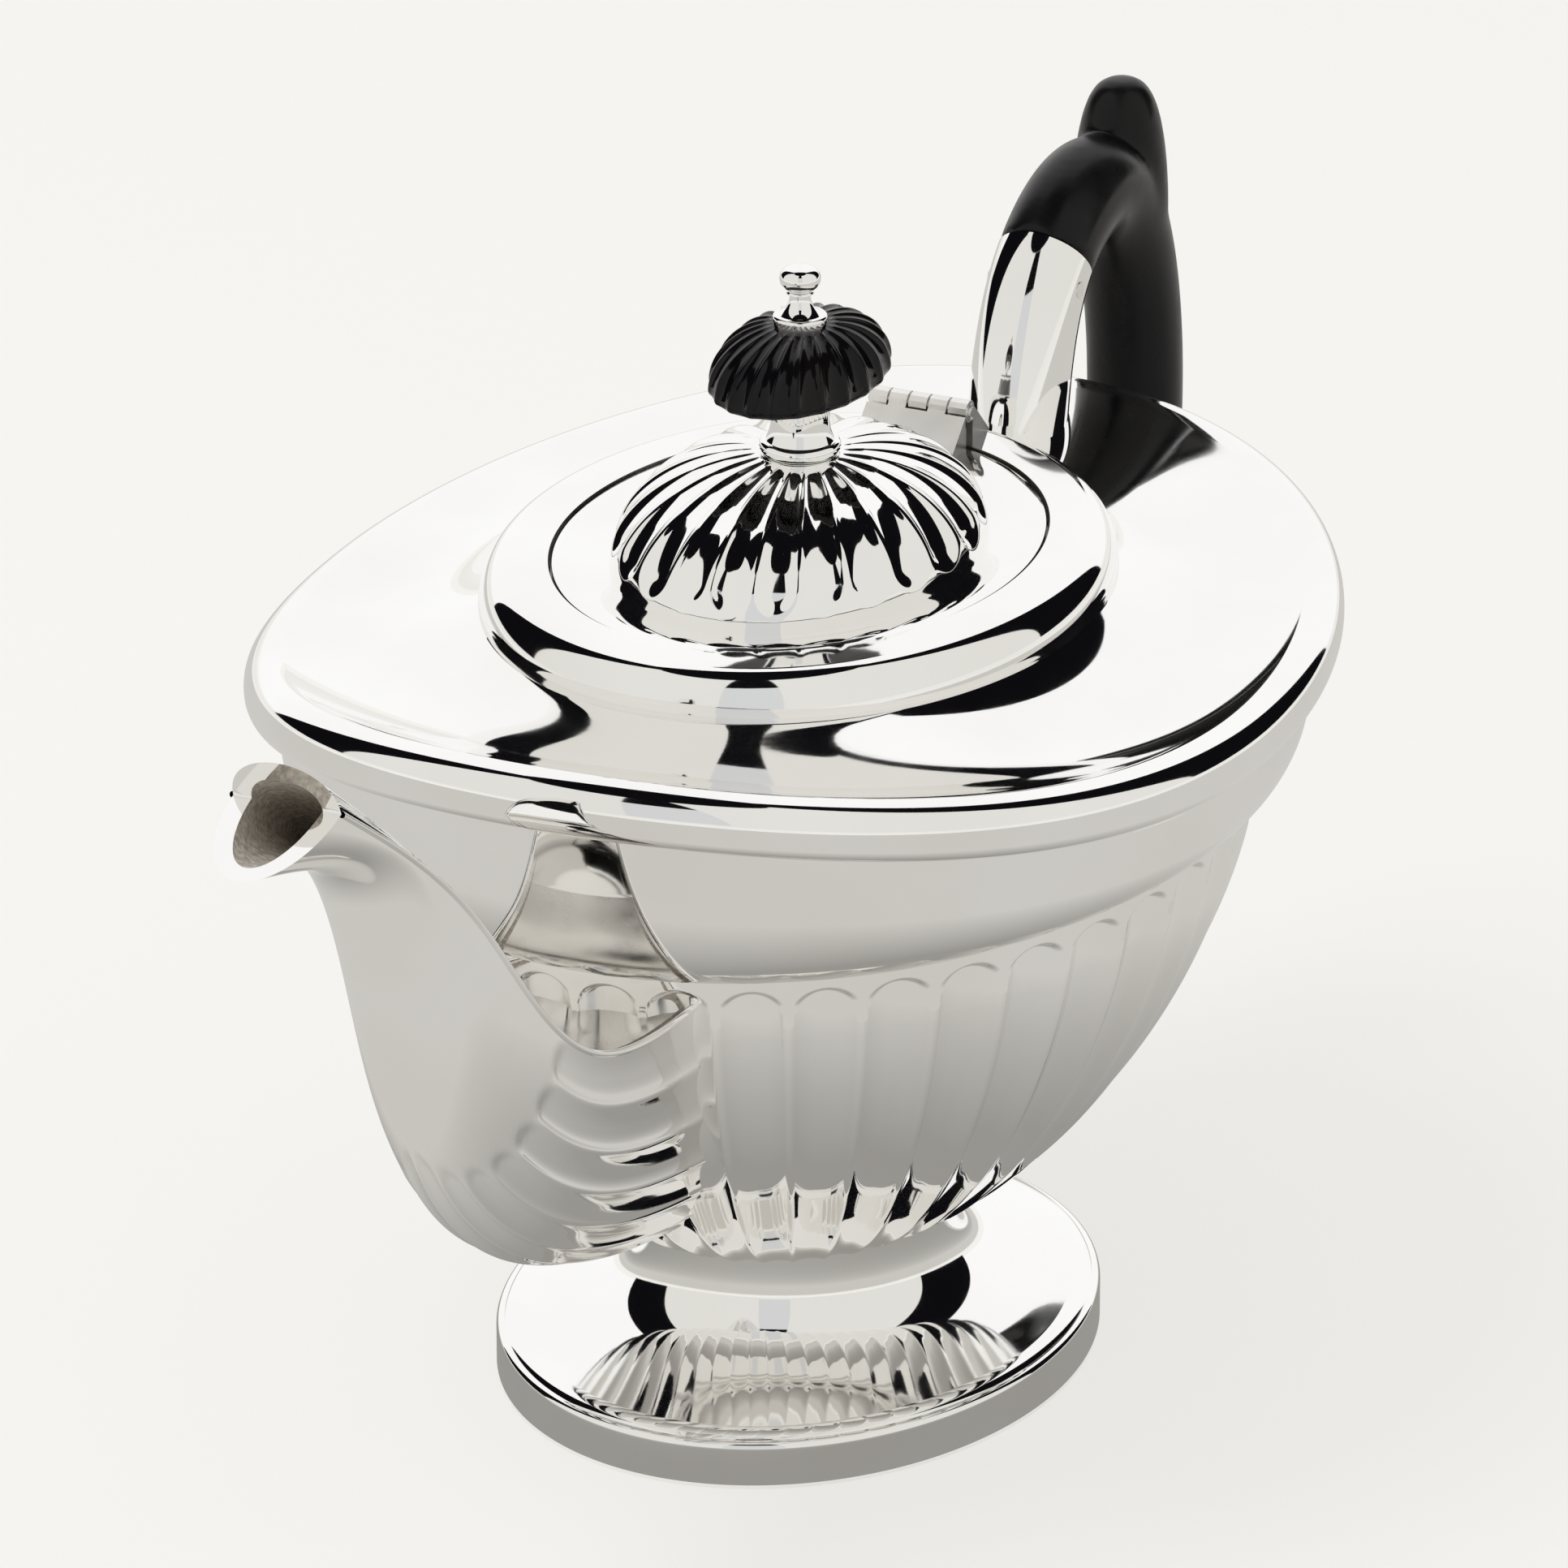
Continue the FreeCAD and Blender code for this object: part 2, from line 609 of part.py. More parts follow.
def finial_cap():
    """The small turned finial that closes the stud."""
    waist = CAP_BALL_RADIUS * CAP_WAIST_SHARE
    outline = [
        (CAP_RADIUS, 0.0), (CAP_RADIUS, 0.14), (CAP_RADIUS * 0.7, 0.22), (waist, 0.36), (waist, 0.46),
        (CAP_BALL_RADIUS, 0.62), (CAP_BALL_RADIUS, 0.78), (waist, 0.94), (CAP_TIP_RADIUS, 1.0),
    ]
    circles = [level_circle(radius, CAP_BASE + CAP_HEIGHT * share) for radius, share in outline]
    body = stacked([plain_oval(circle, TURNED_SIDES) for circle in circles])
    return body.cut(Part.makeCylinder(STUD_RADIUS, CAP_HEIGHT * CAP_BORE_SHARE, Vector(0, 0, CAP_BASE)))


def finial_stud():
    base = DOME_TOP - DOME_WALL - NUT_HEIGHT
    return Part.makeCylinder(STUD_RADIUS, CAP_BASE + CAP_HEIGHT * CAP_BORE_SHARE - base, Vector(0, 0, base))


def finial_nut():
    """The hexagonal nut under the dome."""
    base = DOME_TOP - DOME_WALL - NUT_HEIGHT
    corners = [TURN * corner / 6 for corner in range(6)]
    points = [Vector(NUT_RADIUS * math.cos(turn), NUT_RADIUS * math.sin(turn), base) for turn in corners]
    nut = flat_face(points).extrude(UP * NUT_HEIGHT)
    return nut.cut(Part.makeCylinder(STUD_RADIUS, NUT_HEIGHT, Vector(0, 0, base)))


def knuckle_span(index):
    """Where along Y a knuckle starts and ends, with half the gap taken off each side."""
    start = index * KNUCKLE_LENGTH - HINGE_HALF_LENGTH
    return start + KNUCKLE_GAP / 2, start + KNUCKLE_LENGTH - KNUCKLE_GAP / 2


def knuckles(first):
    """Every second barrel of the hinge, starting at the given one."""
    own = range(first, KNUCKLE_COUNT, 2)
    return [faceted_bar(KNUCKLE_RADIUS, HINGE_X, HINGE_HEIGHT, *knuckle_span(index)) for index in own]


def knuckle_slot(index):
    """The space that a knuckle of the other leaf turns in."""
    start, end = knuckle_span(index)
    size = (KNUCKLE_RADIUS + KNUCKLE_GAP) * 2
    corner = Vector(HINGE_X - size / 2, start - KNUCKLE_GAP, HINGE_HEIGHT - size / 2)
    return Part.makeBox(size, end - start + 2 * KNUCKLE_GAP, size, corner)


def pin_bore():
    reach = HINGE_HALF_LENGTH * 2
    return cross_bar(HINGE_PIN_RADIUS + HINGE_PIN_CLEARANCE, HINGE_X, HINGE_HEIGHT, -reach, reach)


def hinge_leaf(outline, first):
    """One leaf: its plate with slots for the other leaf's knuckles, and its own knuckles."""
    leaf = side_plate(outline, HINGE_HALF_LENGTH)
    for index in range(1 - first, KNUCKLE_COUNT, 2):
        leaf = leaf.cut(knuckle_slot(index))
    return leaf.fuse(knuckles(first)).cut(pin_bore())


def hinge_body_leaf(collar):
    """The leaf on the back of the collar, with three knuckles."""
    front = HINGE_X + KNUCKLE_RADIUS * LEAF_NOSE_SHARE
    back = HINGE_X + LEAF_LENGTH
    low = COLLAR_BASE + COLLAR_HEIGHT * LEAF_SINK_SHARE
    high = HINGE_HEIGHT + KNUCKLE_RADIUS * LEAF_TOP_SHARE
    foot = (HINGE_X + LID_GAP, low)
    outline = [(front, COLLAR_TOP - LID_GAP), foot, (back, low), (back, COLLAR_TOP), (front, high)]
    return hinge_leaf(outline, 0).cut(collar)


def hinge_lid_leaf(plate):
    """The leaf on the lid, with two knuckles."""
    front = HINGE_X - LEAF_LENGTH
    back = HINGE_X - KNUCKLE_RADIUS * LEAF_NOSE_SHARE
    low = LID_BASE + LID_PLATE_THICKNESS / 2
    high = HINGE_HEIGHT + KNUCKLE_RADIUS * LEAF_TOP_SHARE
    edge = HINGE_X - KNUCKLE_RADIUS
    nose = (front, LID_TOP + LID_VALLEY)
    outline = [(edge, low), (edge, HINGE_HEIGHT - KNUCKLE_RADIUS), (back, high), nose, (front, low)]
    return hinge_leaf(outline, 1).cut(plate)


def hinge_pin():
    reach = HINGE_HALF_LENGTH + KNUCKLE_GAP
    return cross_bar(HINGE_PIN_RADIUS, HINGE_X, HINGE_HEIGHT, -reach, reach)


def side_curve(points):
    """A smooth curve in the XZ plane through (x, z) points."""
    curve = Part.BSplineCurve()
    curve.interpolate([Vector(x, 0, z) for x, z in points])
    return curve


def at_share(curve, share):
    """The point and direction at a share of the curve's parameter range."""
    parameter = curve.FirstParameter + (curve.LastParameter - curve.FirstParameter) * share
    return curve.value(parameter), curve.tangent(parameter)[0]


def spout_ridge():
    """The side line where the spout's top meets its flanks."""
    root = -bowl_oval(SPOUT_ROOT_LEVEL).length * SPOUT_RIDGE_ROOT_SHARE
    return side_curve([
        (root, SPOUT_SADDLE_HEIGHT), (-SPOUT_SADDLE_REACH, SPOUT_SADDLE_HEIGHT),
        (-SPOUT_NECK_REACH, SPOUT_NECK_HEIGHT), (-SPOUT_MOUTH_REACH, SPOUT_MOUTH_HEIGHT),
    ])


def spout_keel():
    """The line along the bottom and front of the spout."""
    base = bowl_oval((SPOUT_KEEL_BASE_HEIGHT - NECK_HEIGHT) / BOWL_HEIGHT)
    root = -base.length * SPOUT_KEEL_ROOT_SHARE
    return side_curve([
        (root, SPOUT_KEEL_BASE_HEIGHT), (-SPOUT_BELLY_REACH, SPOUT_BELLY_HEIGHT),
        (-SPOUT_BREAST_REACH, SPOUT_BREAST_HEIGHT),
        (-SPOUT_THROAT_REACH, SPOUT_MOUTH_HEIGHT - SPOUT_THROAT_DROP),
        (-SPOUT_TIP_REACH, SPOUT_MOUTH_HEIGHT - SPOUT_TIP_DROP),
    ])


def spout_section(ridge, keel, half_width, crown, wall):
    """A section with a crowned top, sharp side ridges and a rounded keel, inset by the wall."""
    rise = (ridge - keel).normalize()
    keel = keel + rise * wall
    half_width = half_width - wall
    left = ridge - ACROSS * half_width
    right = ridge + ACROSS * half_width
    depth = (ridge - keel).Length
    flank = rise * depth * ROUND_SHARE
    breadth = ACROSS * half_width * ROUND_SHARE
    arch = crown * (4 / 3)
    edges = [
        [left, left + arch, right + arch, right],
        [right, right - flank, keel + breadth, keel],
        [keel, keel - breadth, left - flank, left],
    ]
    return facets(edges, CURVE_STEPS)


def spout_half_width(share):
    """The width narrows quickly from the root to the neck, then slowly to the mouth."""
    neck = SPOUT_NECK_HALF_WIDTH + (SPOUT_MOUTH_HALF_WIDTH - SPOUT_NECK_HALF_WIDTH) * share
    return neck + (SPOUT_ROOT_HALF_WIDTH - SPOUT_NECK_HALF_WIDTH) * (1 - share) ** 2


def spout_loft(wall):
    """The outside of the spout, or its channel where a wall is given; the top swells towards the mouth."""
    outlines = []
    for station in range(SPOUT_STATIONS + 1):
        share = station / SPOUT_STATIONS
        ridge = at_share(spout_ridge(), share)[0]
        keel = at_share(spout_keel(), share)[0]
        swell = SPOUT_MOUTH_CROWN * share ** 2 + SPOUT_TOP_CROWN
        crown = Vector(-SPOUT_MOUTH_LEAN * share, 0, 1) * (swell - wall)
        outlines.append(spout_section(ridge, keel, spout_half_width(share), crown, wall))
    outward = at_share(spout_ridge(), 1.0)[1] * wall * 2
    if wall:
        outlines.append([point + outward for point in outlines[-1]])
    return stacked(outlines)


def spout(bowl, band):
    shell = spout_loft(0.0).cut(spout_loft(SPOUT_WALL))
    return biggest_solid(shell.cut(bowl).cut(band))


def handle_root():
    """How far out the bowl's surface is where the handle's lower end meets it."""
    return bowl_oval((LOWER_JOINT_HEIGHT - NECK_HEIGHT) / BOWL_HEIGHT).length


def handle_line():
    """The handle's centre line from the shoulder, round the back, to the bowl."""
    rim = RIM_HALF_LENGTH
    return side_curve([
        (rim - SOCKET_FOOT_INSET, COLLAR_BASE - LIP_THICKNESS),
        (rim - SOCKET_JOINT_INSET, SOCKET_JOINT_HEIGHT),
        (rim + HANDLE_SHOULDER_OUT, HANDLE_SHOULDER_HEIGHT),
        (rim + HANDLE_BACK_OUT, HANDLE_BACK_HEIGHT),
        (rim + HANDLE_HEEL_OUT, HANDLE_HEEL_HEIGHT),
        (handle_root() + LOWER_SOCKET_LENGTH, LOWER_JOINT_HEIGHT),
        (handle_root() - BOWL_WALL, LOWER_JOINT_HEIGHT),
    ])


def share_at(curve, x, z):
    """The share of the curve's parameter range at one of its points."""
    first = curve.FirstParameter
    return (curve.parameter(Vector(x, 0, z)) - first) / (curve.LastParameter - first)


def upper_joint():
    return share_at(handle_line(), RIM_HALF_LENGTH - SOCKET_JOINT_INSET, SOCKET_JOINT_HEIGHT)


def lower_joint():
    return share_at(handle_line(), handle_root() + LOWER_SOCKET_LENGTH, LOWER_JOINT_HEIGHT)


def handle_section(share, scale=1.0):
    """An oval section square to the handle's centre line, deeper towards both roots."""
    centre, along = at_share(handle_line(), share)
    root = max(0.0, 1 - share / upper_joint(), (share - lower_joint()) / (1 - lower_joint()))
    half_depth = HANDLE_HALF_DEPTH + (SOCKET_FOOT_HALF_DEPTH - HANDLE_HALF_DEPTH) * root
    return oval_section(centre, along.cross(ACROSS) * half_depth * scale, ACROSS * HANDLE_HALF_WIDTH * scale)


def handle_run(start, end, stations):
    """The stretch of the handle between two shares of its centre line."""
    shares = [start + (end - start) * step / stations for step in range(stations + 1)]
    return stacked([handle_section(share) for share in shares])


def tenon(share, direction):
    """The stub of the grip inside a socket, running from the joint towards the root."""
    along = at_share(handle_line(), share)[1] * direction
    return flat_face(handle_section(share, TENON_SHARE)).extrude(along * TENON_LENGTH)


def rivet(share, direction):
    """The cross pin through a socket and the stub inside it."""
    centre, along = at_share(handle_line(), share)
    middle = centre + along * direction * TENON_LENGTH / 2
    return faceted_bar(RIVET_RADIUS, middle.x, middle.z, -HANDLE_HALF_WIDTH, HANDLE_HALF_WIDTH)


def biggest_solid(shape):
    return max(shape.Solids, key=lambda solid: solid.Volume)


def handle_upper_socket(shoulder, collar):
    run = handle_run(0.0, upper_joint(), UPPER_SOCKET_STATIONS).cut(shoulder).cut(collar)
    return biggest_solid(run).cut(tenon(upper_joint(), -1)).cut(rivet(upper_joint(), -1))


def handle_lower_socket(bowl):
    run = handle_run(lower_joint(), 1.0, LOWER_SOCKET_STATIONS).cut(bowl)
    return biggest_solid(run).cut(tenon(lower_joint(), 1)).cut(rivet(lower_joint(), 1))


def thumb_rest():
    """The rounded peak above the back of the handle."""
    base = HANDLE_SHOULDER_HEIGHT - HANDLE_HALF_DEPTH
    rise = THUMB_HEIGHT - base
    outlines = []
    for step in range(THUMB_STATIONS + 1):
        turn = THUMB_LAST_TURN * step / THUMB_STATIONS
        size = math.cos(turn) ** THUMB_ROUNDING
        height = base + rise * math.sin(turn) / math.sin(THUMB_LAST_TURN)
        centre = Vector(RIM_HALF_LENGTH + THUMB_OUT, 0, height)
        depth = Vector(HANDLE_HALF_DEPTH * size, 0, 0)
        outlines.append(oval_section(centre, depth, ACROSS * HANDLE_HALF_WIDTH * size))
    return stacked(outlines)


def handle_grip():
    grip = handle_run(upper_joint(), lower_joint(), GRIP_STATIONS).fuse(thumb_rest())
    stubs = [(upper_joint(), -1), (lower_joint(), 1)]
    grip = grip.fuse([tenon(*stub) for stub in stubs])
    return grip.cut([rivet(*stub) for stub in stubs])


def handle_rivets():
    return Part.makeCompound([rivet(upper_joint(), -1), rivet(lower_joint(), 1)])


def main():
    os.makedirs("parts", exist_ok=True)
    outside = bowl_outside()
    band = body_band()
    shoulder = body_shoulder()
    collar = lid_collar()
    plate = lid_plate()
    nodes = {
        "foot_rim": foot_rim(),
        "foot_pedestal": foot_pedestal(),
        "body_bowl": body_bowl(outside),
        "body_band": band,
        "body_shoulder": shoulder,
        "lid_collar": collar,
        "lid_seat": lid_seat(),
        "spout": spout(outside, band),
        "lid_plate": plate,
        "lid_bezel": lid_bezel(),
        "lid_dome": lid_dome(),
        "finial_collar": finial_collar(),
        "finial_stem": finial_stem(),
        "finial_knob": finial_knob(),
        "finial_cap": finial_cap(),
        "finial_stud": finial_stud(),
        "finial_nut": finial_nut(),
        "hinge_body_leaf": hinge_body_leaf(collar),
        "hinge_lid_leaf": hinge_lid_leaf(plate),
        "hinge_pin": hinge_pin(),
        "handle_upper_socket": handle_upper_socket(shoulder, collar),
        "handle_lower_socket": handle_lower_socket(outside),
        "handle_grip": handle_grip(),
        "handle_rivets": handle_rivets(),
    }
    for name, shape in nodes.items():
        shape.exportStep("parts/" + name + ".step")


main()
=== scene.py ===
import bpy
import math
import numpy as np
from collections import namedtuple
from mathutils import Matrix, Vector

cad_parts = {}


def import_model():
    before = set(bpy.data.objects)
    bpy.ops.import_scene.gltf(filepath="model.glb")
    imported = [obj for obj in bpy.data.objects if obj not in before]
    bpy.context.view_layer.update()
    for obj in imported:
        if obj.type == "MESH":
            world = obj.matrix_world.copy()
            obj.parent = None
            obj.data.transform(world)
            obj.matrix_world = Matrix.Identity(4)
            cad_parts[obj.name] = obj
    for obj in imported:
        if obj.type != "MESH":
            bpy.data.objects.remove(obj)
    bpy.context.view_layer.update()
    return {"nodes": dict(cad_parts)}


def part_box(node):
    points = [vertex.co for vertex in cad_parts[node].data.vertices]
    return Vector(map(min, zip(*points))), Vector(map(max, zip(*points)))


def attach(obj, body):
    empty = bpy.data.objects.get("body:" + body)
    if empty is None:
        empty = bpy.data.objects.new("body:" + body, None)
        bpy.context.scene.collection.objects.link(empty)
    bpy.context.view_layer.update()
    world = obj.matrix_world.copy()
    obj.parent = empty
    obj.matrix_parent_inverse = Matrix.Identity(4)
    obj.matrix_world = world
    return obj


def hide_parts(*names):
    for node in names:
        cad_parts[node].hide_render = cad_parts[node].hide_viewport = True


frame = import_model()

# Sizes are in metres and follow the boxes of the solid parts where these give them.
# The LENGTH, WIDTH and DEPTH of an oval or a bar are half sizes.
MM = 0.001

# Foot and pedestal
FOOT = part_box("foot_rim")[1]
FOOT_WALL = 3.0 * MM
FOOT_ROUND = 1.1 * MM
NECK_LENGTH = 23.5 * MM
NECK_WIDTH = 18.8 * MM
NECK_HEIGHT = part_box("foot_pedestal")[1].z
NECK_WAIST_SHARE = 0.45
PEDESTAL_WALL = 1.5 * MM

# Fluted bowl
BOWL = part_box("body_bowl")[1]
BOWL_WALL = 2.4 * MM
BOWL_CURVE_TOP = 1.6
BOWL_CURVE_BASE = 0.7
BOWL_FLUTES = 40
BOWL_FLUTE_DEPTH = 1.2 * MM
BOWL_FLUTE_TOP = 1.6 * MM
BOWL_FLUTE_FADE = 0.8 * MM
BOWL_ARCH_HEIGHT = 4.5 * MM
BOWL_ARCHES_FROM = 0.85
BOWL_LOW_ROWS = 40
BOWL_ARCH_ROWS = 45
BOWL_LINING_SKIP = 5

# Plain band above the flutes
BAND_STEP = 0.9 * MM
BAND_WALL = 1.8 * MM
BAND_BULGE = 5.0 * MM
BAND_LOW_BULGE_AT = 0.25
BAND_HIGH_BULGE_AT = 0.7
BAND_HIGH_BULGE_SHARE = 0.55
BAND_HEIGHT = 12.0 * MM

# Rolled rim and dished shoulder
RIM_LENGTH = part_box("body_shoulder")[1].x
RIM_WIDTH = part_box("body_shoulder")[1].y
RIM_RISE_SPOUT = 12.5 * MM
RIM_RISE_HANDLE = 4.0 * MM
LIP_THICKNESS = 8.0 * MM
LIP_OVERHANG = 7.5 * MM
LIP_SIDE_SHARE = 0.55
LIP_UNDER_IN = 0.3
LIP_UNDER_DOWN = 0.55
LIP_CORNER_DOWN = 0.35
LIP_CROWN = 4.2 * MM
DISH_DEPTH = 4.0 * MM
DISH_OUT_AT = 0.3
DISH_IN_AT = 0.75
SHOULDER_WALL = 1.8 * MM
RIM_HEIGHT = BOWL.z + BAND_HEIGHT + LIP_THICKNESS / 2

# Collar and lid
COLLAR_LOW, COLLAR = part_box("lid_collar")
COLLAR_FLAT = 5.2 * MM
LID_LOW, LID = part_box("lid_plate")
LID_GAP = 0.5 * MM
LID_EDGE = 2.1 * MM
LID_VALLEY = 0.8 * MM
LID_HUMP_AT = 0.35
LID_HOLLOW_AT = 0.65
LID_HOLLOW_SHARE = 0.5
DOME_LOW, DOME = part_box("lid_dome")
DOME_TOP_RADIUS = 5.6 * MM
DOME_WALL = 1.9 * MM
DOME_FLUTES = 24
DOME_FLUTE_DEPTH = 0.7 * MM
DOME_FLUTE_FOOT = 0.07
DOME_FLUTE_ROUND = 0.11
DOME_FLUTE_FADE = 0.12
DOME_ROWS = 70

# Finial
STEM_COLLAR_LOW, STEM_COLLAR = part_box("finial_collar")
STEM_COLLAR_EDGE = 0.5 * MM
STEM_LOW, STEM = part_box("finial_stem")
STEM_FOOT_SHARE = 0.85
STEM_WAIST_RADIUS = 2.8 * MM
STEM_WAIST_AT = 0.4
KNOB_LOW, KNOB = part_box("finial_knob")
KNOB_FLUTES = 22
KNOB_FLUTE_DEPTH = 0.55 * MM
KNOB_SKIRT_SHARE = 0.72
KNOB_SKIRT_HEIGHT = 0.16
KNOB_SKIRT_ROWS = 8
KNOB_CROWN_ROWS = 40
KNOB_EDGE_ROWS = 6
KNOB_UNDER_DEPTH_SHARE = 0.2
KNOB_EDGE_DEPTH_SHARE = 0.6
KNOB_TOP_FADE = 6
CAP_LOW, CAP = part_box("finial_cap")
CAP_BALL_RADIUS = 2.4 * MM
CAP_WAIST_RADIUS = 1.32 * MM
CAP_DISC_SHARE = 0.8
CAP_DISC_TOP = 0.17
CAP_NECK_TOP = 0.52
CAP_RING_SHARE = 1.35
CAP_RING_TOP = 0.58
CAP_TIP_SHARE = 0.7

# Spout; its two lines go through (x, z) points in millimetres, from the bowl to the mouth.
SPOUT_WALL = 1.3 * MM
SPOUT_ROOT_WIDTH = 17.0 * MM
SPOUT_NECK_WIDTH = 8.4 * MM
SPOUT_MOUTH_WIDTH = 7.0 * MM
SPOUT_SADDLE_DIP = 2.0 * MM
SPOUT_SADDLE_END = 0.36
SPOUT_EDGE = 0.5 * MM
SPOUT_EDGE_SIDES = 12
SPOUT_MOUTH_CROWN = 6.0 * MM
SPOUT_LEAN = 0.35
SPOUT_RIM = 1.1 * MM
SPOUT_RIM_POWER = 12
SPOUT_FLUTES = 7
SPOUT_FLUTE_DEPTH = 0.5 * MM
SPOUT_FLUTE_END_RIDGE = 0.42
SPOUT_FLUTE_END_KEEL = 0.6
SPOUT_ARCH_SHARE = 0.012
SPOUT_FLUTE_FADE = 0.014
SPOUT_RIDGE = [(-47.6, 79.5), (-88.0, 79.5), (-112.0, 105.0), (-146.3, 133.4)]
SPOUT_KEEL = [(-20.8, 31.0), (-83.0, 46.5), (-116.4, 78.0), (-131.0, 116.0), (-159.5, 129.0)]

# Handle; its line goes through (x, z) points in millimetres, from the upper socket to the lower one.
HANDLE_LINE = [
    (70.2, 98.6), (80.1, 123.0), (95.0, 128.0), (112.0, 98.0), (101.0, 64.0), (80.0, 54.0), (58.6, 54.0),
]
UPPER_JOINT = 1
LOWER_JOINT = 5
HANDLE_WIDTH = 6.5 * MM
HANDLE_DEPTH = 7.0 * MM
HANDLE_ROOT_DEPTH = 8.6 * MM
UPPER_SOCKET_ROWS = 60
LOWER_SOCKET_ROWS = 40
GRIP_ROWS = 160
GRIP_VOXEL = 0.6 * MM
GRIP_SOFTENING = 0.5
GRIP_SOFTEN_ROUNDS = 14
THUMB_REACH = 106.0 * MM
THUMB_HEIGHT = 140.0 * MM
THUMB_BASE = 121.0 * MM
THUMB_ROWS = 32
THUMB_LAST_TURN = math.pi * 0.497
THUMB_ROUNDING = 0.6

# Solid parts that stay visible as they are
OUTER_SOLIDS = ["hinge_body_leaf", "hinge_lid_leaf", "hinge_pin", "handle_rivets"]
INNER_SOLIDS = ["lid_seat", "lid_bezel", "finial_stud", "finial_nut"]

# Fineness and directions
TURN = 2 * math.pi
QUARTER_TURN = math.pi / 2
ROUND_SHARE = 0.55
ROUND_STEPS = 240
FLUTE_STEPS = 24
CURVE_STEPS = 24
SECTION_STEPS = 48
SPOUT_STEPS = 120
SLOPE_STEP = 0.002
BEAD_SHARE = 0.08
BEAD_HEIGHT_SHARE = 0.3
RIDGE_SHARE = 0.06
FLUTE_FLOOR_POWER = 2.6
ALONG = Vector((1, 0, 0))
ACROSS = Vector((0, 1, 0))
UP = Vector((0, 0, 1))

Oval = namedtuple("Oval", "length width height lift")


# Shapes shared by the rings of the pot

def grown(oval, out=0.0, up=0.0):
    return Oval(oval.length + out, oval.width + out, oval.height + up, oval.lift)


def blend(first, second, share):
    """The number, point or oval at a share of the way from the first to the second."""
    if isinstance(first, Oval):
        return Oval(*[blend(a, b, share) for a, b in zip(first, second)])
    return first + (second - first) * share


def rim_rise(angle):
    """How far the boat-shaped rim has risen at this angle round the pot."""
    along = math.cos(angle)
    rise = RIM_RISE_HANDLE if along > 0 else RIM_RISE_SPOUT
    return rise * along * along


def oval_point(oval, angle):
    height = oval.height + oval.lift * rim_rise(angle)
    return Vector((oval.length * math.cos(angle), oval.width * math.sin(angle), height))


def oval_row(oval, steps=ROUND_STEPS):
    return [oval_point(oval, TURN * step / steps) for step in range(steps)]


def bezier(poles, share):
    while len(poles) > 1:
        poles = [blend(first, second, share) for first, second in zip(poles, poles[1:])]
    return poles[0]


def curve(*runs, steps=CURVE_STEPS):
    """The points along Bezier runs that follow one another without a corner."""
    points = [runs[0][0]]
    for poles in runs:
        points += [bezier(list(poles), step / steps) for step in range(1, steps + 1)]
    return points


def smooth(value):
    value = min(max(value, 0.0), 1.0)
    return value * value * (3 - 2 * value)


def scallop(phase, ridge, bead):
    """The depth share across one hollow flute; the ridge on each side may carry a thin bead."""
    side = min(phase, 1 - phase)
    if side < ridge:
        return -bead * math.sqrt(1 - (side / ridge) ** 2)
    place = (phase - ridge) / (1 - 2 * ridge)
    return 1 - abs(2 * place - 1) ** FLUTE_FLOOR_POWER


def beaded(phase):
    return scallop(phase, BEAD_SHARE, BEAD_HEIGHT_SHARE)


def plain(phase):
    return scallop(phase, RIDGE_SHARE, 0.0)


def fluted_row(oval, flutes, depth_at, slant=0.0):
    """An oval sunk by depth_at(phase) across each flute; the slant's share of it also goes down."""
    steps = flutes * FLUTE_STEPS
    row = []
    for step in range(steps):
        depth = depth_at((step % FLUTE_STEPS) / FLUTE_STEPS)
        row.append(oval_point(grown(oval, -depth, -depth * slant), TURN * step / steps))
    return row


def ring_section(centre, first, second, sides=SECTION_STEPS):
    """A closed ring of points round a centre, with two half axes."""
    turns = [TURN * side / sides for side in range(sides)]
    return [centre + first * math.cos(turn) + second * math.sin(turn) for turn in turns]


class Skin:
    """Collects grids of points into one mesh; the border of each grid stays a sharp edge."""

    def __init__(self):
        self.points = []
        self.faces = []
        self.finishes = []

    def add(self, rows, finish=0, around=True):
        first = len(self.points)
        count = len(rows[0])
        columns = count if around else count - 1
        for row in rows:
            self.points += row
        for line in range(len(rows) - 1):
            for column in range(columns):
                start = first + line * count
                near = start + column
                far = start + (column + 1) % count
                self.faces.append((near, far, far + count, near + count))
                self.finishes.append(finish)

    def fan(self, row, centre, finish=0):
        """Closes a ring of points with triangles to its centre."""
        first = len(self.points)
        self.points += row + [centre]
        for column in range(len(row)):
            self.faces.append((first + column, first + (column + 1) % len(row), first + len(row)))
            self.finishes.append(finish)

    def rings(self, ovals, finish=0):
        self.add([oval_row(oval) for oval in ovals], finish)

    def piece(self, name, body, slot, materials, *nodes):
        """Makes the visible piece that stands for the named solid parts."""
        mesh = bpy.data.meshes.new(name)
        mesh.from_pydata([tuple(point) for point in self.points], [], self.faces)
        for material in materials:
            mesh.materials.append(material)
        mesh.polygons.foreach_set("material_index", self.finishes)
        mesh.polygons.foreach_set("use_smooth", [True] * len(mesh.polygons))
        mesh.update()
        thing = bpy.data.objects.new(name, mesh)
        bpy.context.scene.collection.objects.link(thing)
        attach(thing, body)
        if nodes:
            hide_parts(*nodes)
        return thing


# Materials

NOISE_LOW = 0.3
NOISE_HIGH = 0.7
SCRATCH_HEIGHT = 0.02 * MM
SPECKLE_HEIGHT = 0.05 * MM


def new_material(name):
    material = bpy.data.materials.new(name)
    material.use_nodes = True
    nodes = material.node_tree.nodes
    return material, nodes, material.node_tree.links, nodes["Principled BSDF"]


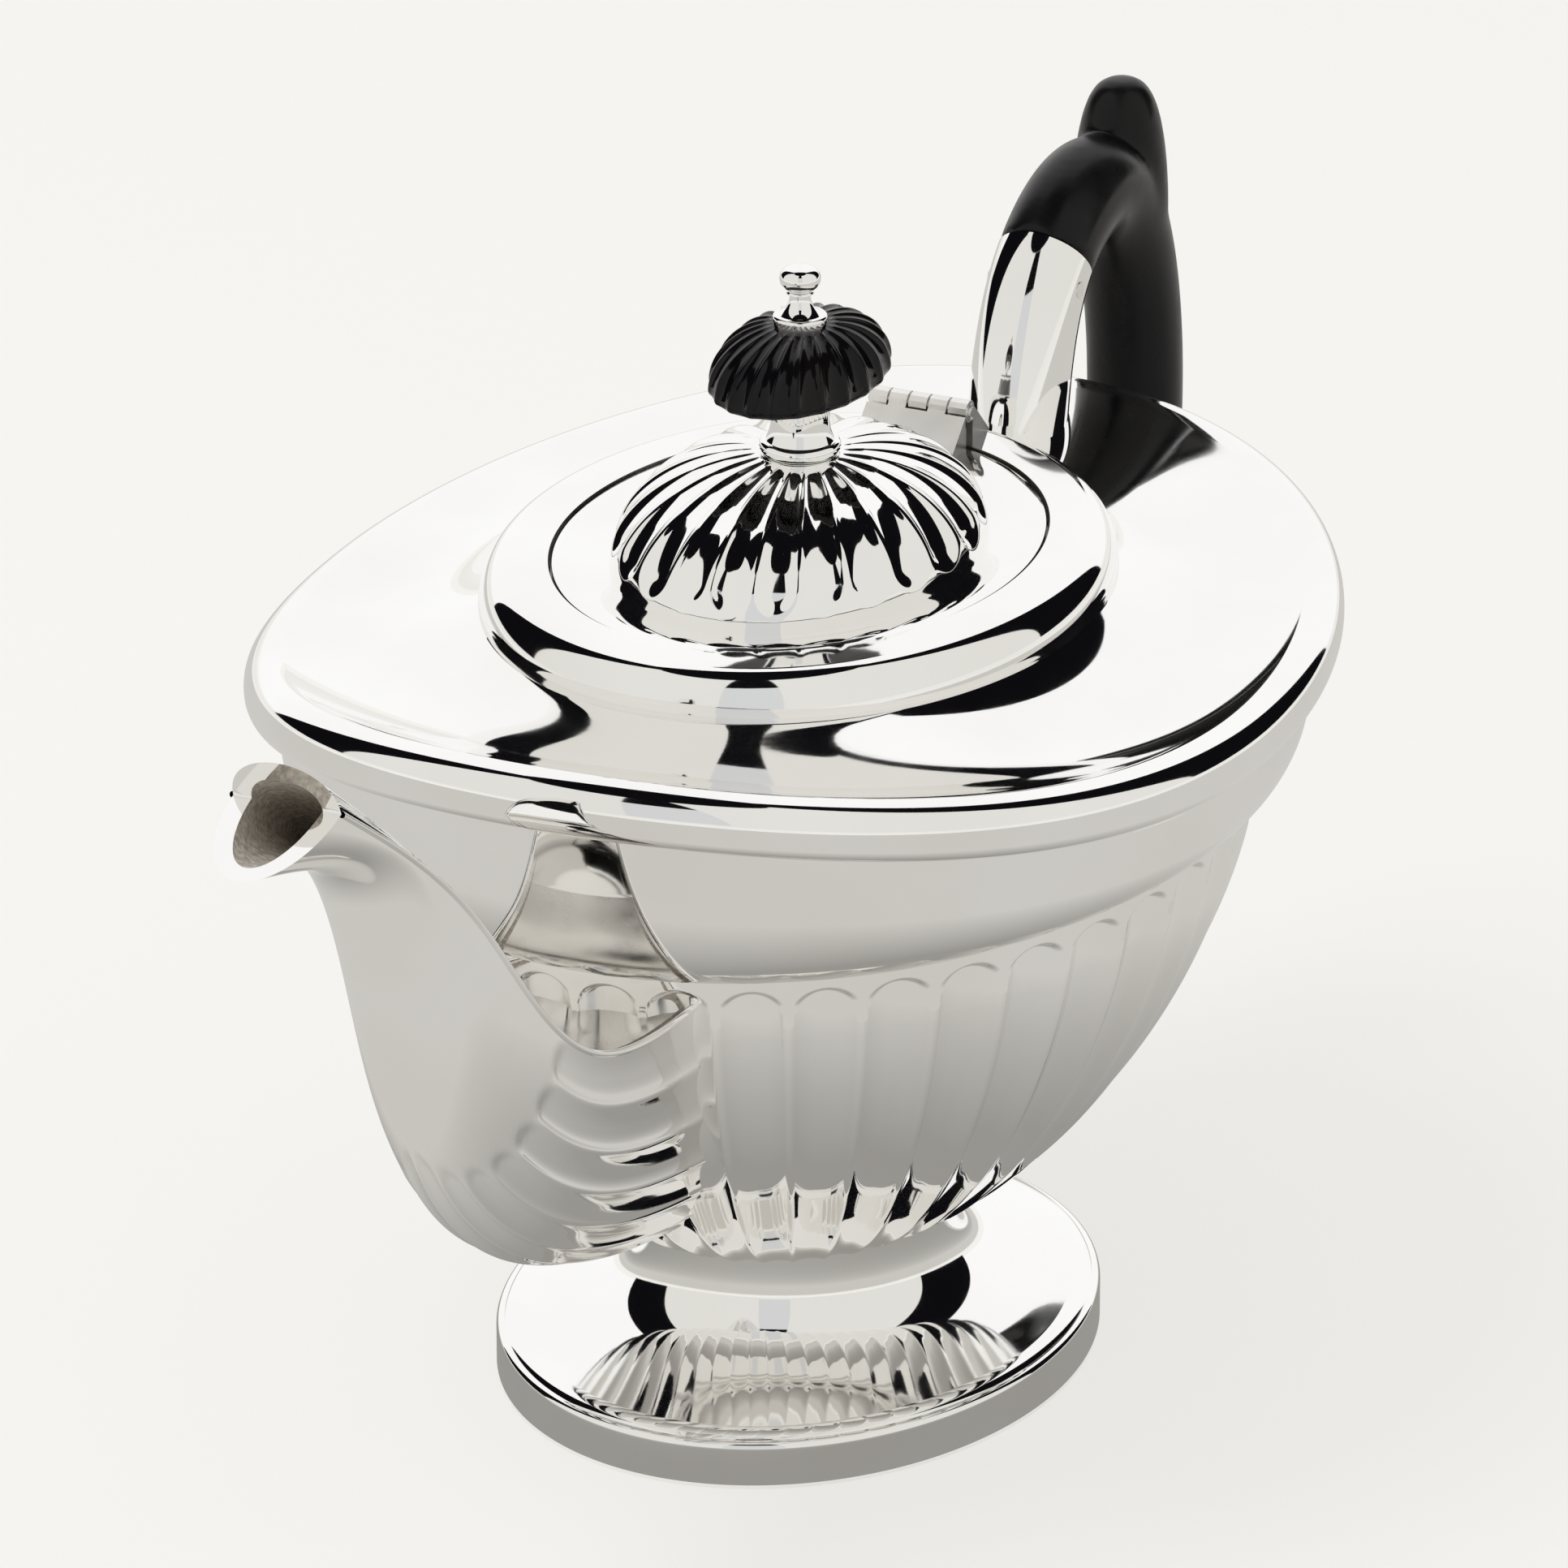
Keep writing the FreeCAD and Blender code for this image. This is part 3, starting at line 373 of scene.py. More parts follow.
def noise(nodes, links, scale, detail, stretch=(1, 1, 1)):
    """A noise pattern that is fixed to the object's own space."""
    place = nodes.new("ShaderNodeTexCoord")
    mapping = nodes.new("ShaderNodeMapping")
    mapping.inputs["Scale"].default_value = stretch
    pattern = nodes.new("ShaderNodeTexNoise")
    pattern.inputs["Scale"].default_value = scale
    pattern.inputs["Detail"].default_value = detail
    links.new(place.outputs["Object"], mapping.inputs["Vector"])
    links.new(mapping.outputs["Vector"], pattern.inputs["Vector"])
    return pattern.outputs["Fac"]


def ramp(nodes, links, source, low, high, start=NOISE_LOW, end=NOISE_HIGH):
    """Turns a value into a blend of two colours."""
    colours = nodes.new("ShaderNodeValToRGB")
    colours.color_ramp.elements[0].position = start
    colours.color_ramp.elements[1].position = end
    colours.color_ramp.elements[0].color = (*low, 1)
    colours.color_ramp.elements[1].color = (*high, 1)
    links.new(source, colours.inputs["Fac"])
    return colours.outputs["Color"]


def spread(nodes, links, source, low, high):
    """Turns a noise value into a number between two limits."""
    limits = nodes.new("ShaderNodeMapRange")
    limits.inputs["From Min"].default_value = NOISE_LOW
    limits.inputs["From Max"].default_value = NOISE_HIGH
    limits.inputs["To Min"].default_value = low
    limits.inputs["To Max"].default_value = high
    links.new(source, limits.inputs["Value"])
    return limits.outputs["Result"]


def bump(nodes, links, source, strength, distance):
    raised = nodes.new("ShaderNodeBump")
    raised.inputs["Strength"].default_value = strength
    raised.inputs["Distance"].default_value = distance
    links.new(source, raised.inputs["Height"])
    return raised.outputs["Normal"]


def silver(name, bright, tarnished, polish, worn, scratches):
    """Silver plate with faint tarnish clouds, uneven polish and fine wear."""
    material, nodes, links, shader = new_material(name)
    shader.inputs["Metallic"].default_value = 1.0
    clouds = noise(nodes, links, scale=38, detail=4)
    rubbed = noise(nodes, links, scale=160, detail=3)
    marks = noise(nodes, links, scale=900, detail=2, stretch=(1, 1, 6))
    links.new(ramp(nodes, links, clouds, tarnished, bright), shader.inputs["Base Color"])
    links.new(spread(nodes, links, rubbed, polish, worn), shader.inputs["Roughness"])
    links.new(bump(nodes, links, marks, scratches, SCRATCH_HEIGHT), shader.inputs["Normal"])
    return material


def black(name, gloss, worn, grain):
    """Polished black composition with faint brown depth, finger wear and a fine grain."""
    material, nodes, links, shader = new_material(name)
    depth = noise(nodes, links, scale=60, detail=4)
    rubbed = noise(nodes, links, scale=220, detail=4)
    fine = noise(nodes, links, scale=1400, detail=2, stretch=(1, 1, 0.3))
    colour = ramp(nodes, links, depth, (0.002, 0.002, 0.003), (0.006, 0.005, 0.005))
    links.new(colour, shader.inputs["Base Color"])
    links.new(spread(nodes, links, rubbed, gloss, worn), shader.inputs["Roughness"])
    links.new(bump(nodes, links, fine, grain, SCRATCH_HEIGHT), shader.inputs["Normal"])
    shader.inputs["Specular IOR Level"].default_value = 0.2
    return material


def matt_lining(name):
    """The unpolished, speckled lining of the spout."""
    material, nodes, links, shader = new_material(name)
    shader.inputs["Metallic"].default_value = 0.35
    speckle = noise(nodes, links, scale=1500, detail=3)
    clouds = noise(nodes, links, scale=90, detail=4)
    colour = ramp(nodes, links, speckle, (0.40, 0.36, 0.31), (0.78, 0.73, 0.66))
    links.new(colour, shader.inputs["Base Color"])
    links.new(spread(nodes, links, clouds, 0.5, 0.75), shader.inputs["Roughness"])
    links.new(bump(nodes, links, speckle, 0.3, SPECKLE_HEIGHT), shader.inputs["Normal"])
    return material


# Pieces of the pot; finish 0 is the outside and finish 1 the dull inside

def foot_piece(outside, dull):
    skin = Skin()
    edge = Oval(FOOT.x, FOOT.y, 0.0, 0.0)
    shoulder = grown(edge, up=FOOT.z - FOOT_ROUND)
    corner = grown(edge, up=FOOT.z)
    top = grown(corner, -FOOT_ROUND)
    inner_top = grown(corner, -FOOT_WALL)
    inner = grown(edge, -FOOT_WALL)
    skin.rings([edge] + curve([shoulder, corner, top]) + [inner_top])
    skin.rings([inner_top, inner], 1)
    skin.rings([inner, edge], 1)
    skin.piece("foot_rim_polished", "pot", "silver", [outside, dull], "foot_rim")


def pedestal_piece(outside, dull):
    skin = Skin()
    base = Oval(FOOT.x - FOOT_ROUND, FOOT.y - FOOT_ROUND, FOOT.z, 0.0)
    edge = grown(base, -FOOT_ROUND / 2, FOOT_ROUND / 2)
    neck = Oval(NECK_LENGTH, NECK_WIDTH, NECK_HEIGHT, 0.0)
    waist = grown(neck, up=-NECK_HEIGHT * NECK_WAIST_SHARE)
    spread_out = grown(neck, FOOT_WALL, FOOT.z + PEDESTAL_WALL - NECK_HEIGHT)
    skin.rings([base] + curve([edge, spread_out, waist, neck]))
    inner_neck = grown(neck, -PEDESTAL_WALL)
    inner_base = grown(base, -FOOT_WALL)
    inner_spread = grown(spread_out, -PEDESTAL_WALL, -PEDESTAL_WALL)
    skin.rings(curve([inner_neck, grown(waist, -PEDESTAL_WALL), inner_spread, inner_base]), 1)
    skin.piece("pedestal_polished", "pot", "silver", [outside, dull], "foot_pedestal")


def bowl_oval(share):
    swell = (1 - (1 - share) ** BOWL_CURVE_TOP) ** BOWL_CURVE_BASE
    length = blend(NECK_LENGTH, BOWL.x, swell)
    width = blend(NECK_WIDTH, BOWL.y, swell)
    return Oval(length, width, blend(NECK_HEIGHT, BOWL.z, share), 0.0)


def bowl_row(share):
    """One level of the bowl; each flute ends in a round arch below the band."""
    oval = bowl_oval(share)
    full_depth = BOWL_FLUTE_DEPTH * min(1.0, oval.width / BOWL.y)

    def depth_at(phase):
        arch_drop = 1 - math.sqrt(1 - (2 * phase - 1) ** 2)
        arch_top = BOWL.z - BOWL_FLUTE_TOP - BOWL_ARCH_HEIGHT * arch_drop
        return full_depth * beaded(phase) * smooth((arch_top - oval.height) / BOWL_FLUTE_FADE)

    return fluted_row(oval, BOWL_FLUTES, depth_at)


def bowl_piece(outside, dull):
    skin = Skin()
    low_shares = [BOWL_ARCHES_FROM * (step / BOWL_LOW_ROWS) ** 2 for step in range(BOWL_LOW_ROWS)]
    high_shares = [blend(BOWL_ARCHES_FROM, 1.0, step / BOWL_ARCH_ROWS) for step in range(BOWL_ARCH_ROWS + 1)]
    skin.add([bowl_row(share) for share in low_shares + high_shares])
    lining_shares = high_shares[::-BOWL_LINING_SKIP] + low_shares[::-1]
    lining = [grown(bowl_oval(share), -BOWL_WALL, BOWL_WALL * (1 - share)) for share in lining_shares]
    skin.rings(lining, 1)
    skin.fan(oval_row(lining[-1]), UP * lining[-1].height, 1)
    skin.piece("bowl_fluted", "pot", "silver", [outside, dull], "body_bowl")


def band_top():
    length = RIM_LENGTH - LIP_OVERHANG
    width = RIM_WIDTH - LIP_OVERHANG * LIP_SIDE_SHARE
    return Oval(length, width, BOWL.z + BAND_HEIGHT, 1.0)


def band_piece(outside, dull):
    skin = Skin()
    foot = grown(bowl_oval(1.0), BAND_STEP)
    top = band_top()
    low_bulge = grown(blend(foot, top, BAND_LOW_BULGE_AT), BAND_BULGE)
    high_bulge = grown(blend(foot, top, BAND_HIGH_BULGE_AT), BAND_BULGE * BAND_HIGH_BULGE_SHARE)
    poles = [foot, low_bulge, high_bulge, top]
    skin.rings([bowl_oval(1.0), foot])
    skin.rings(curve(poles))
    skin.rings(curve([grown(oval, -BAND_WALL) for oval in poles[::-1]]), 1)
    skin.piece("band_polished", "pot", "silver", [outside, dull], "body_band")


def collar_foot():
    return Oval(COLLAR.x, COLLAR.y, COLLAR_LOW.z, 0.0)


def lid_mouth(height):
    return Oval(LID.x + LID_GAP, LID.y + LID_GAP, height, 0.0)


def shoulder_piece(outside, dull):
    """The rolled lip, the dish that runs in to the collar, and the ceiling under them."""
    skin = Skin()
    joint = band_top()
    widest = Oval(RIM_LENGTH, RIM_WIDTH, RIM_HEIGHT, 1.0)
    under = grown(widest, -LIP_OVERHANG * LIP_UNDER_IN, -LIP_THICKNESS * LIP_UNDER_DOWN)
    corner = grown(widest, up=-LIP_THICKNESS * LIP_CORNER_DOWN)
    crest = grown(widest, -LIP_CROWN, LIP_CROWN)
    collar = collar_foot()
    dish_out = grown(blend(crest, collar, DISH_OUT_AT), up=-DISH_DEPTH)
    dish_in = grown(blend(crest, collar, DISH_IN_AT), up=-DISH_DEPTH)
    lip = curve([joint, under, corner, widest], [widest, grown(widest, up=LIP_CROWN), crest])
    skin.rings(lip + curve([crest, dish_out, dish_in, collar])[1:])
    mouth = lid_mouth(COLLAR_LOW.z)
    mouth_under = grown(mouth, up=-SHOULDER_WALL)
    ceiling_in = grown(dish_in, up=-SHOULDER_WALL)
    ceiling_out = grown(dish_out, up=-SHOULDER_WALL * 2)
    skin.rings(curve([mouth_under, ceiling_in, ceiling_out, grown(joint, -BAND_WALL)]), 1)
    skin.rings([mouth, mouth_under], 1)
    skin.piece("shoulder_polished", "pot", "silver", [outside, dull], "body_shoulder")


def collar_piece(outside, dull):
    skin = Skin()
    foot = collar_foot()
    mouth = lid_mouth(COLLAR.z)
    edge = grown(mouth, COLLAR_FLAT)
    corner = grown(foot, up=COLLAR.z - COLLAR_LOW.z)
    face = curve([foot, blend(foot, corner, ROUND_SHARE), blend(edge, corner, ROUND_SHARE), edge])
    skin.rings(face + [mouth])
    skin.rings([mouth, lid_mouth(COLLAR_LOW.z)], 1)
    skin.piece("collar_polished", "pot", "silver", [outside, dull], "lid_collar")


# Pieces of the lid

def plate_piece(outside, dull):
    skin = Skin()
    base = Oval(LID.x, LID.y, LID_LOW.z, 0.0)
    edge = grown(base, up=LID_EDGE)
    dome = Oval(DOME.x, DOME.y, DOME_LOW.z, 0.0)
    hump = grown(blend(edge, dome, LID_HUMP_AT), up=LID_VALLEY)
    hollow = grown(blend(edge, dome, LID_HOLLOW_AT), up=-LID_VALLEY * LID_HOLLOW_SHARE)
    inner = grown(dome, -DOME_WALL)
    skin.rings([base, edge])
    skin.rings(curve([edge, hump, hollow, dome]) + [inner])
    skin.rings([inner, Oval(inner.length, inner.width, LID_LOW.z, 0.0), base], 1)
    skin.piece("lid_plate_polished", "lid", "silver", [outside, dull], "lid_plate")


def dome_oval(share, inset=0.0):
    turn = share * QUARTER_TURN
    length = blend(DOME_TOP_RADIUS, DOME.x, math.cos(turn))
    width = blend(DOME_TOP_RADIUS, DOME.y, math.cos(turn))
    height = DOME_LOW.z + (DOME.z - DOME_LOW.z - inset) * math.sin(turn)
    return Oval(length - inset, width - inset, height, 0.0)


def dome_row(share):
    """One level of the dome; each flute has a round lower end and runs out at the top."""
    full_depth = DOME_FLUTE_DEPTH * math.sqrt(math.cos(share * QUARTER_TURN))

    def depth_at(phase):
        foot = DOME_FLUTE_FOOT + DOME_FLUTE_ROUND * (2 * phase - 1) ** 2
        return full_depth * plain(phase) * smooth((share - foot) / DOME_FLUTE_FADE)

    return fluted_row(dome_oval(share), DOME_FLUTES, depth_at, slant=share)


def dome_piece(outside, dull):
    skin = Skin()
    shares = [step / DOME_ROWS for step in range(DOME_ROWS + 1)]
    skin.add([dome_row(share) for share in shares])
    skin.rings([dome_oval(share, DOME_WALL) for share in shares[::-2]], 1)
    top = dome_oval(1.0)
    skin.fan(oval_row(top), UP * top.height)
    skin.piece("lid_dome_fluted", "lid", "silver", [outside, dull], "lid_dome")


def turned_curve(poles):
    """A curve of (radius, height) points for a turned piece."""
    points = curve([Vector((radius, 0, height)) for radius, height in poles])
    return [(point.x, point.z) for point in points]


def turned_piece(name, node, outside, *outlines):
    """A piece turned about the pot's axis; the outlines meet in sharp edges."""
    skin = Skin()
    for outline in outlines:
        ovals = [Oval(radius, radius, height, 0.0) for radius, height in outline]
        skin.add([oval_row(oval, SECTION_STEPS * 2) for oval in ovals])
    skin.piece(name, "lid", "silver", [outside], node)


def stem_collar_piece(outside):
    low = STEM_COLLAR_LOW.z
    high = STEM_COLLAR.z
    flat = STEM_COLLAR.x - STEM_COLLAR_EDGE
    bulge = STEM_COLLAR.x + STEM_COLLAR_EDGE / 2
    edge = turned_curve([(flat, low), (bulge, low), (bulge, high), (flat, high)])
    turned_piece("finial_collar_turned", "finial_collar", outside, [(0.0, low)] + edge + [(0.0, high)])


def stem_piece(outside):
    foot = (STEM_COLLAR.x * STEM_FOOT_SHARE, STEM_LOW.z)
    waist = (STEM_WAIST_RADIUS, blend(STEM_LOW.z, STEM.z, STEM_WAIST_AT))
    side = turned_curve([foot, waist, (STEM.x, STEM.z)])
    turned_piece("finial_stem_turned", "finial_stem", outside, side + [(0.0, STEM.z)])


def cap_piece(outside):
    """The turned finial: a disc, a waisted neck, a thin ring and a ball with a small flat on top."""
    disc = CAP.x * CAP_DISC_SHARE
    waist = CAP_WAIST_RADIUS
    ring = waist * CAP_RING_SHARE
    ball = CAP_BALL_RADIUS
    tip = waist * CAP_TIP_SHARE

    def at(radius, share):
        return radius, blend(CAP_LOW.z, CAP.z, share)

    disc_side = turned_curve([at(CAP.x, 0.1), at(CAP.x, CAP_DISC_TOP), at(disc, CAP_DISC_TOP)])
    neck_poles = [at(disc, CAP_DISC_TOP), at(waist * 1.3, 0.26), at(waist, 0.34), at(waist, CAP_NECK_TOP)]
    ring_side = turned_curve([at(ring, CAP_NECK_TOP), at(ring, 0.56), at(waist, CAP_RING_TOP)])
    ball_poles = [at(waist, CAP_RING_TOP), at(ball * 1.35, 0.62), at(ball * 1.25, 0.98), at(tip, 0.97)]
    disc_outline = [at(CAP.x, 0.0)] + disc_side
    ball_outline = turned_curve(ball_poles) + [at(0.0, 1.0)]
    outlines = [disc_outline, turned_curve(neck_poles), ring_side, ball_outline]
    turned_piece("finial_cap_turned", "finial_cap", outside, *outlines)


def knob_row(size_share, height_share, depth):
    """One level of the knob, between the cap's size and the knob's own."""
    length = blend(CAP.x, KNOB.x, size_share)
    width = blend(CAP.x, KNOB.y, size_share)
    oval = Oval(length, width, blend(KNOB_LOW.z, KNOB.z, height_share), 0.0)
    full_depth = depth * width / KNOB.y
    return fluted_row(oval, KNOB_FLUTES, lambda phase: full_depth * plain(phase), slant=height_share)


def knob_piece(glossy):
    skin = Skin()
    rows = []
    for step in range(KNOB_SKIRT_ROWS + 1):
        share = step / KNOB_SKIRT_ROWS
        turn = share * QUARTER_TURN
        depth = KNOB_FLUTE_DEPTH * blend(KNOB_UNDER_DEPTH_SHARE, KNOB_EDGE_DEPTH_SHARE, share)
        size_share = blend(KNOB_SKIRT_SHARE, 1.0, math.sin(turn))
        rows.append(knob_row(size_share, KNOB_SKIRT_HEIGHT * (1 - math.cos(turn)), depth))
    for step in range(1, KNOB_CROWN_ROWS + 1):
        share = step / KNOB_CROWN_ROWS
        turn = share * QUARTER_TURN
        depth = KNOB_FLUTE_DEPTH * blend(KNOB_EDGE_DEPTH_SHARE, 1.0, smooth(step / KNOB_EDGE_ROWS))
        depth = depth * smooth((1 - share) * KNOB_TOP_FADE)
        rows.append(knob_row(math.cos(turn), blend(KNOB_SKIRT_HEIGHT, 1.0, math.sin(turn)), depth))
    skin.add(rows)
    skin.fan(rows[0][::-1], UP * KNOB_LOW.z)
    skin.piece("finial_knob_fluted", "lid", "black_knob", [glossy], "finial_knob")


# Spout and handle

def spline(points):
    """A smooth curve in the XZ plane through (x, z) points in millimetres, by share of its length."""
    places = np.array(points, float) * MM
    steps = np.linalg.norm(np.diff(places, axis=0), axis=1)
    knots = np.concatenate([[0.0], np.cumsum(steps)])
    count = len(places)
    system = np.eye(count)
    wanted = np.zeros((count, 2))
    for inner in range(1, count - 1):
        before, after = steps[inner - 1], steps[inner]
        system[inner, inner - 1:inner + 2] = before, 2 * (before + after), after
        slopes = np.diff(places[inner - 1:inner + 2], axis=0) / np.array([[before], [after]])
        wanted[inner] = 6 * (slopes[1] - slopes[0])
    bends = np.linalg.solve(system, wanted)

    def at(share):
        place = share * knots[-1]
        span = int(min(max(np.searchsorted(knots, place) - 1, 0), count - 2))
        width = steps[span]
        right = (place - knots[span]) / width
        left = 1 - right
        bend = (left ** 3 - left) * bends[span] + (right ** 3 - right) * bends[span + 1]
        point = left * places[span] + right * places[span + 1] + bend * width ** 2 / 6
        return Vector((point[0], 0, point[1]))

    return at


def slope(line, share):
    return (line(min(share + SLOPE_STEP, 1.0)) - line(max(share - SLOPE_STEP, 0.0))).normalized()


def spout_width(share):
    neck = blend(SPOUT_NECK_WIDTH, SPOUT_MOUTH_WIDTH, share)
    return neck + (SPOUT_ROOT_WIDTH - SPOUT_NECK_WIDTH) * (1 - share) ** 2


def spout_section(ridge, keel, share, inside):
    """The crowned top and the flanks that meet in the keel, outside or inside the wall."""
    rise = (ridge - keel).normalized()
    wall = SPOUT_WALL + SPOUT_RIM * share ** SPOUT_RIM_POWER if inside else 0.0
    rounding = SPOUT_MOUTH_CROWN * share ** 2 - SPOUT_SADDLE_DIP * (1 - share) - wall
    arch = (UP - ALONG * SPOUT_LEAN * share) * rounding * 4 / 3
    keel = keel + rise * wall
    width = spout_width(share) - wall
    left = ridge - ACROSS * width
    right = ridge + ACROSS * width
    flank = rise * (ridge - keel).length * ROUND_SHARE
    breadth = ACROSS * width * ROUND_SHARE
    top = curve([left, left + arch, right + arch, right])
    sides = curve([right, right - flank, keel + breadth, keel], [keel, keel - breadth, left - flank, left],
                  steps=FLUTE_STEPS * SPOUT_FLUTES)
    if not inside:
        sides = fluted_flank(sides, share, blend(keel, ridge, 0.5))
    return top, sides


def spout_rows(inside):
    ridge_line = spline(SPOUT_RIDGE)
    keel_line = spline(SPOUT_KEEL)
    shares = [step / SPOUT_STEPS for step in range(SPOUT_STEPS + 1)]
    sections = [spout_section(ridge_line(share), keel_line(share), share, inside) for share in shares]
    return [top for top, sides in sections], [sides for top, sides in sections]


def fluted_flank(row, share, middle):
    """Sinks flutes into the root of the spout; they end in a row of arches from ridge to keel."""
    sunk = []
    for place, point in enumerate(row):
        phase = place % FLUTE_STEPS / FLUTE_STEPS
        down = 1 - abs(2 * place / (len(row) - 1) - 1)
        end = blend(SPOUT_FLUTE_END_RIDGE, SPOUT_FLUTE_END_KEEL, down)
        end = end - SPOUT_ARCH_SHARE * (2 * phase - 1) ** 2
        fade = smooth((end - share) / SPOUT_FLUTE_FADE)
        inward = (middle - point).normalized()
        sunk.append(point + inward * SPOUT_FLUTE_DEPTH * fade * beaded(phase))
    return sunk


def edge_roll(points):
    """Rows of a thin rounded edge along a line of points."""
    return [ring_section(point, ACROSS * SPOUT_EDGE, UP * SPOUT_EDGE, SPOUT_EDGE_SIDES) for point in points]


def spout_piece(outside, rubbed, lining):
    skin = Skin()
    tops, flanks = spout_rows(False)
    saddle_end = int(SPOUT_STEPS * SPOUT_SADDLE_END)
    skin.add([row[::-1] for row in tops[:saddle_end + 1]], 2, False)
    skin.add([row[::-1] for row in tops[saddle_end:]], 0, False)
    skin.add([row[::-1] for row in flanks], 0, False)
    skin.add(edge_roll([row[0] for row in tops]))
    skin.add(edge_roll([row[-1] for row in tops]))
    inner_tops, inner_flanks = spout_rows(True)
    skin.add(inner_tops, 1, False)
    skin.add(inner_flanks, 1, False)
    rim = tops[-1][:-1] + flanks[-1][:-1]
    inner_rim = inner_tops[-1][:-1] + inner_flanks[-1][:-1]
    skin.add([rim[::-1], inner_rim[::-1]])
    skin.piece("spout_polished", "pot", "silver", [outside, lining, rubbed], "spout")


def share_of(points, index):
    """The share of the length of a line through points at one of them."""
    steps = np.linalg.norm(np.diff(np.array(points, float), axis=0), axis=1)
    return float(steps[:index].sum() / steps.sum())


def handle_row(line, share, upper, lower):
    """An oval section square to the handle's centre line, deeper towards both roots."""
    root = max(0.0, 1 - share / upper, (share - lower) / (1 - lower))
    depth = blend(HANDLE_DEPTH, HANDLE_ROOT_DEPTH, root)
    outward = slope(line, share).cross(ACROSS)
    return ring_section(line(share), outward * depth, ACROSS * HANDLE_WIDTH)


def handle_run(start, end, steps, upper, lower):
    line = spline(HANDLE_LINE)
    shares = [blend(start, end, step / steps) for step in range(steps + 1)]
    return [handle_row(line, share, upper, lower) for share in shares]


def socket_pieces(outside, upper, lower):
    top = Skin()
    top.add(handle_run(0.0, upper, UPPER_SOCKET_ROWS, upper, lower))
    top.piece("handle_upper_socket_polished", "pot", "silver", [outside], "handle_upper_socket")
    low = Skin()
    low.add(handle_run(lower, 1.0, LOWER_SOCKET_ROWS, upper, lower))
    low.piece("handle_lower_socket_polished", "pot", "silver", [outside], "handle_lower_socket")


def thumb_rows():
    """Level ovals of the thumb rest that shrink to a round top."""
    rows = []
    for step in range(THUMB_ROWS + 1):
        turn = step / THUMB_ROWS * THUMB_LAST_TURN
        size = math.cos(turn) ** THUMB_ROUNDING
        centre = ALONG * THUMB_REACH + UP * blend(THUMB_BASE, THUMB_HEIGHT, math.sin(turn))
        rows.append(ring_section(centre, ALONG * HANDLE_DEPTH * size, ACROSS * HANDLE_WIDTH * size))
    return rows


def add_bar(skin, rows):
    """A bar through rows of points, closed at both ends."""
    skin.add(rows)
    skin.fan(rows[0][::-1], sum(rows[0], Vector()) / len(rows[0]))
    skin.fan(rows[-1], sum(rows[-1], Vector()) / len(rows[-1]))


def grip_piece(satin, upper, lower):
    """The black grip, with the thumb rest blended into it."""
    skin = Skin()
    add_bar(skin, handle_run(upper, lower, GRIP_ROWS, upper, lower))
    add_bar(skin, thumb_rows())
    grip = skin.piece("handle_grip_black", "pot", "black_grip", [satin], "handle_grip")
    merge = grip.modifiers.new("merge", "REMESH")
    merge.mode = "VOXEL"
    merge.voxel_size = GRIP_VOXEL
    merge.use_smooth_shade = True
    soften = grip.modifiers.new("soften", "SMOOTH")
    soften.factor = GRIP_SOFTENING
    soften.iterations = GRIP_SOFTEN_ROUNDS


def dress_solids(names, material):
    """Gives solid parts that stay visible their finish."""
    for name in names:
        thing = frame["nodes"][name]
        thing.data.materials.clear()
        thing.data.materials.append(material)


# Studio

CAMERA_AZIMUTH = math.radians(-66.0)
CAMERA_DISTANCE = 1.361
CAMERA_HEIGHT = 0.6645
CAMERA_TARGET = Vector((-0.00083, 0.00186, 0.07849))
CAMERA_LENS = 264.5
CAMERA_SENSOR = 36.0
STUDIO_CENTRE = Vector((0, 0, 0.08))
BACKDROP = (0.939, 0.930, 0.896)
WORLD_COLOUR = (0.95, 0.95, 0.95)
WORLD_STRENGTH = 0.75
FLOOR_REACH = 12.0
FLOOR_ROUGHNESS = 0.7
FLOOR_GLOW_SHARE = 0.7
CARD_STEPS = 24
TABLE_CARD_STEPS = 48
TABLE_CARD_LIFT = 0.5 * MM
# Share of a card's reach where its near colour begins to fade; on the table card the near colour is a
# painted contact shadow.
PAINTED_SHADOW_FADE_START = 0.4


def at_azimuth(azimuth, distance, height):
    """A point round the pot's axis; the azimuth counts from -Y towards +X."""
    return Vector((math.sin(azimuth) * distance, -math.cos(azimuth) * distance, height))


def camera():
    lens = bpy.data.cameras.new("camera")
    lens.lens = CAMERA_LENS
    lens.sensor_width = CAMERA_SENSOR
    lens.clip_start = 0.05
    lens.clip_end = 100
    thing = bpy.data.objects.new("camera", lens)
    thing.location = at_azimuth(CAMERA_AZIMUTH, CAMERA_DISTANCE, CAMERA_HEIGHT)
    thing.rotation_mode = "QUATERNION"
    thing.rotation_quaternion = (CAMERA_TARGET - thing.location).to_track_quat("-Z", "Y")
    bpy.context.scene.collection.objects.link(thing)
    bpy.context.scene.camera = thing


def shown_rays(nodes, links):
    """One for rays from the camera, a mirror or glass, and zero for the rest."""
    path = nodes.new("ShaderNodeLightPath")
    first = nodes.new("ShaderNodeMath")
    first.operation = "MAXIMUM"
    second = nodes.new("ShaderNodeMath")
    second.operation = "MAXIMUM"
    links.new(path.outputs["Is Camera Ray"], first.inputs[0])
    links.new(path.outputs["Is Glossy Ray"], first.inputs[1])
    links.new(first.outputs[0], second.inputs[0])
    links.new(path.outputs["Is Transmission Ray"], second.inputs[1])
    return second.outputs[0]


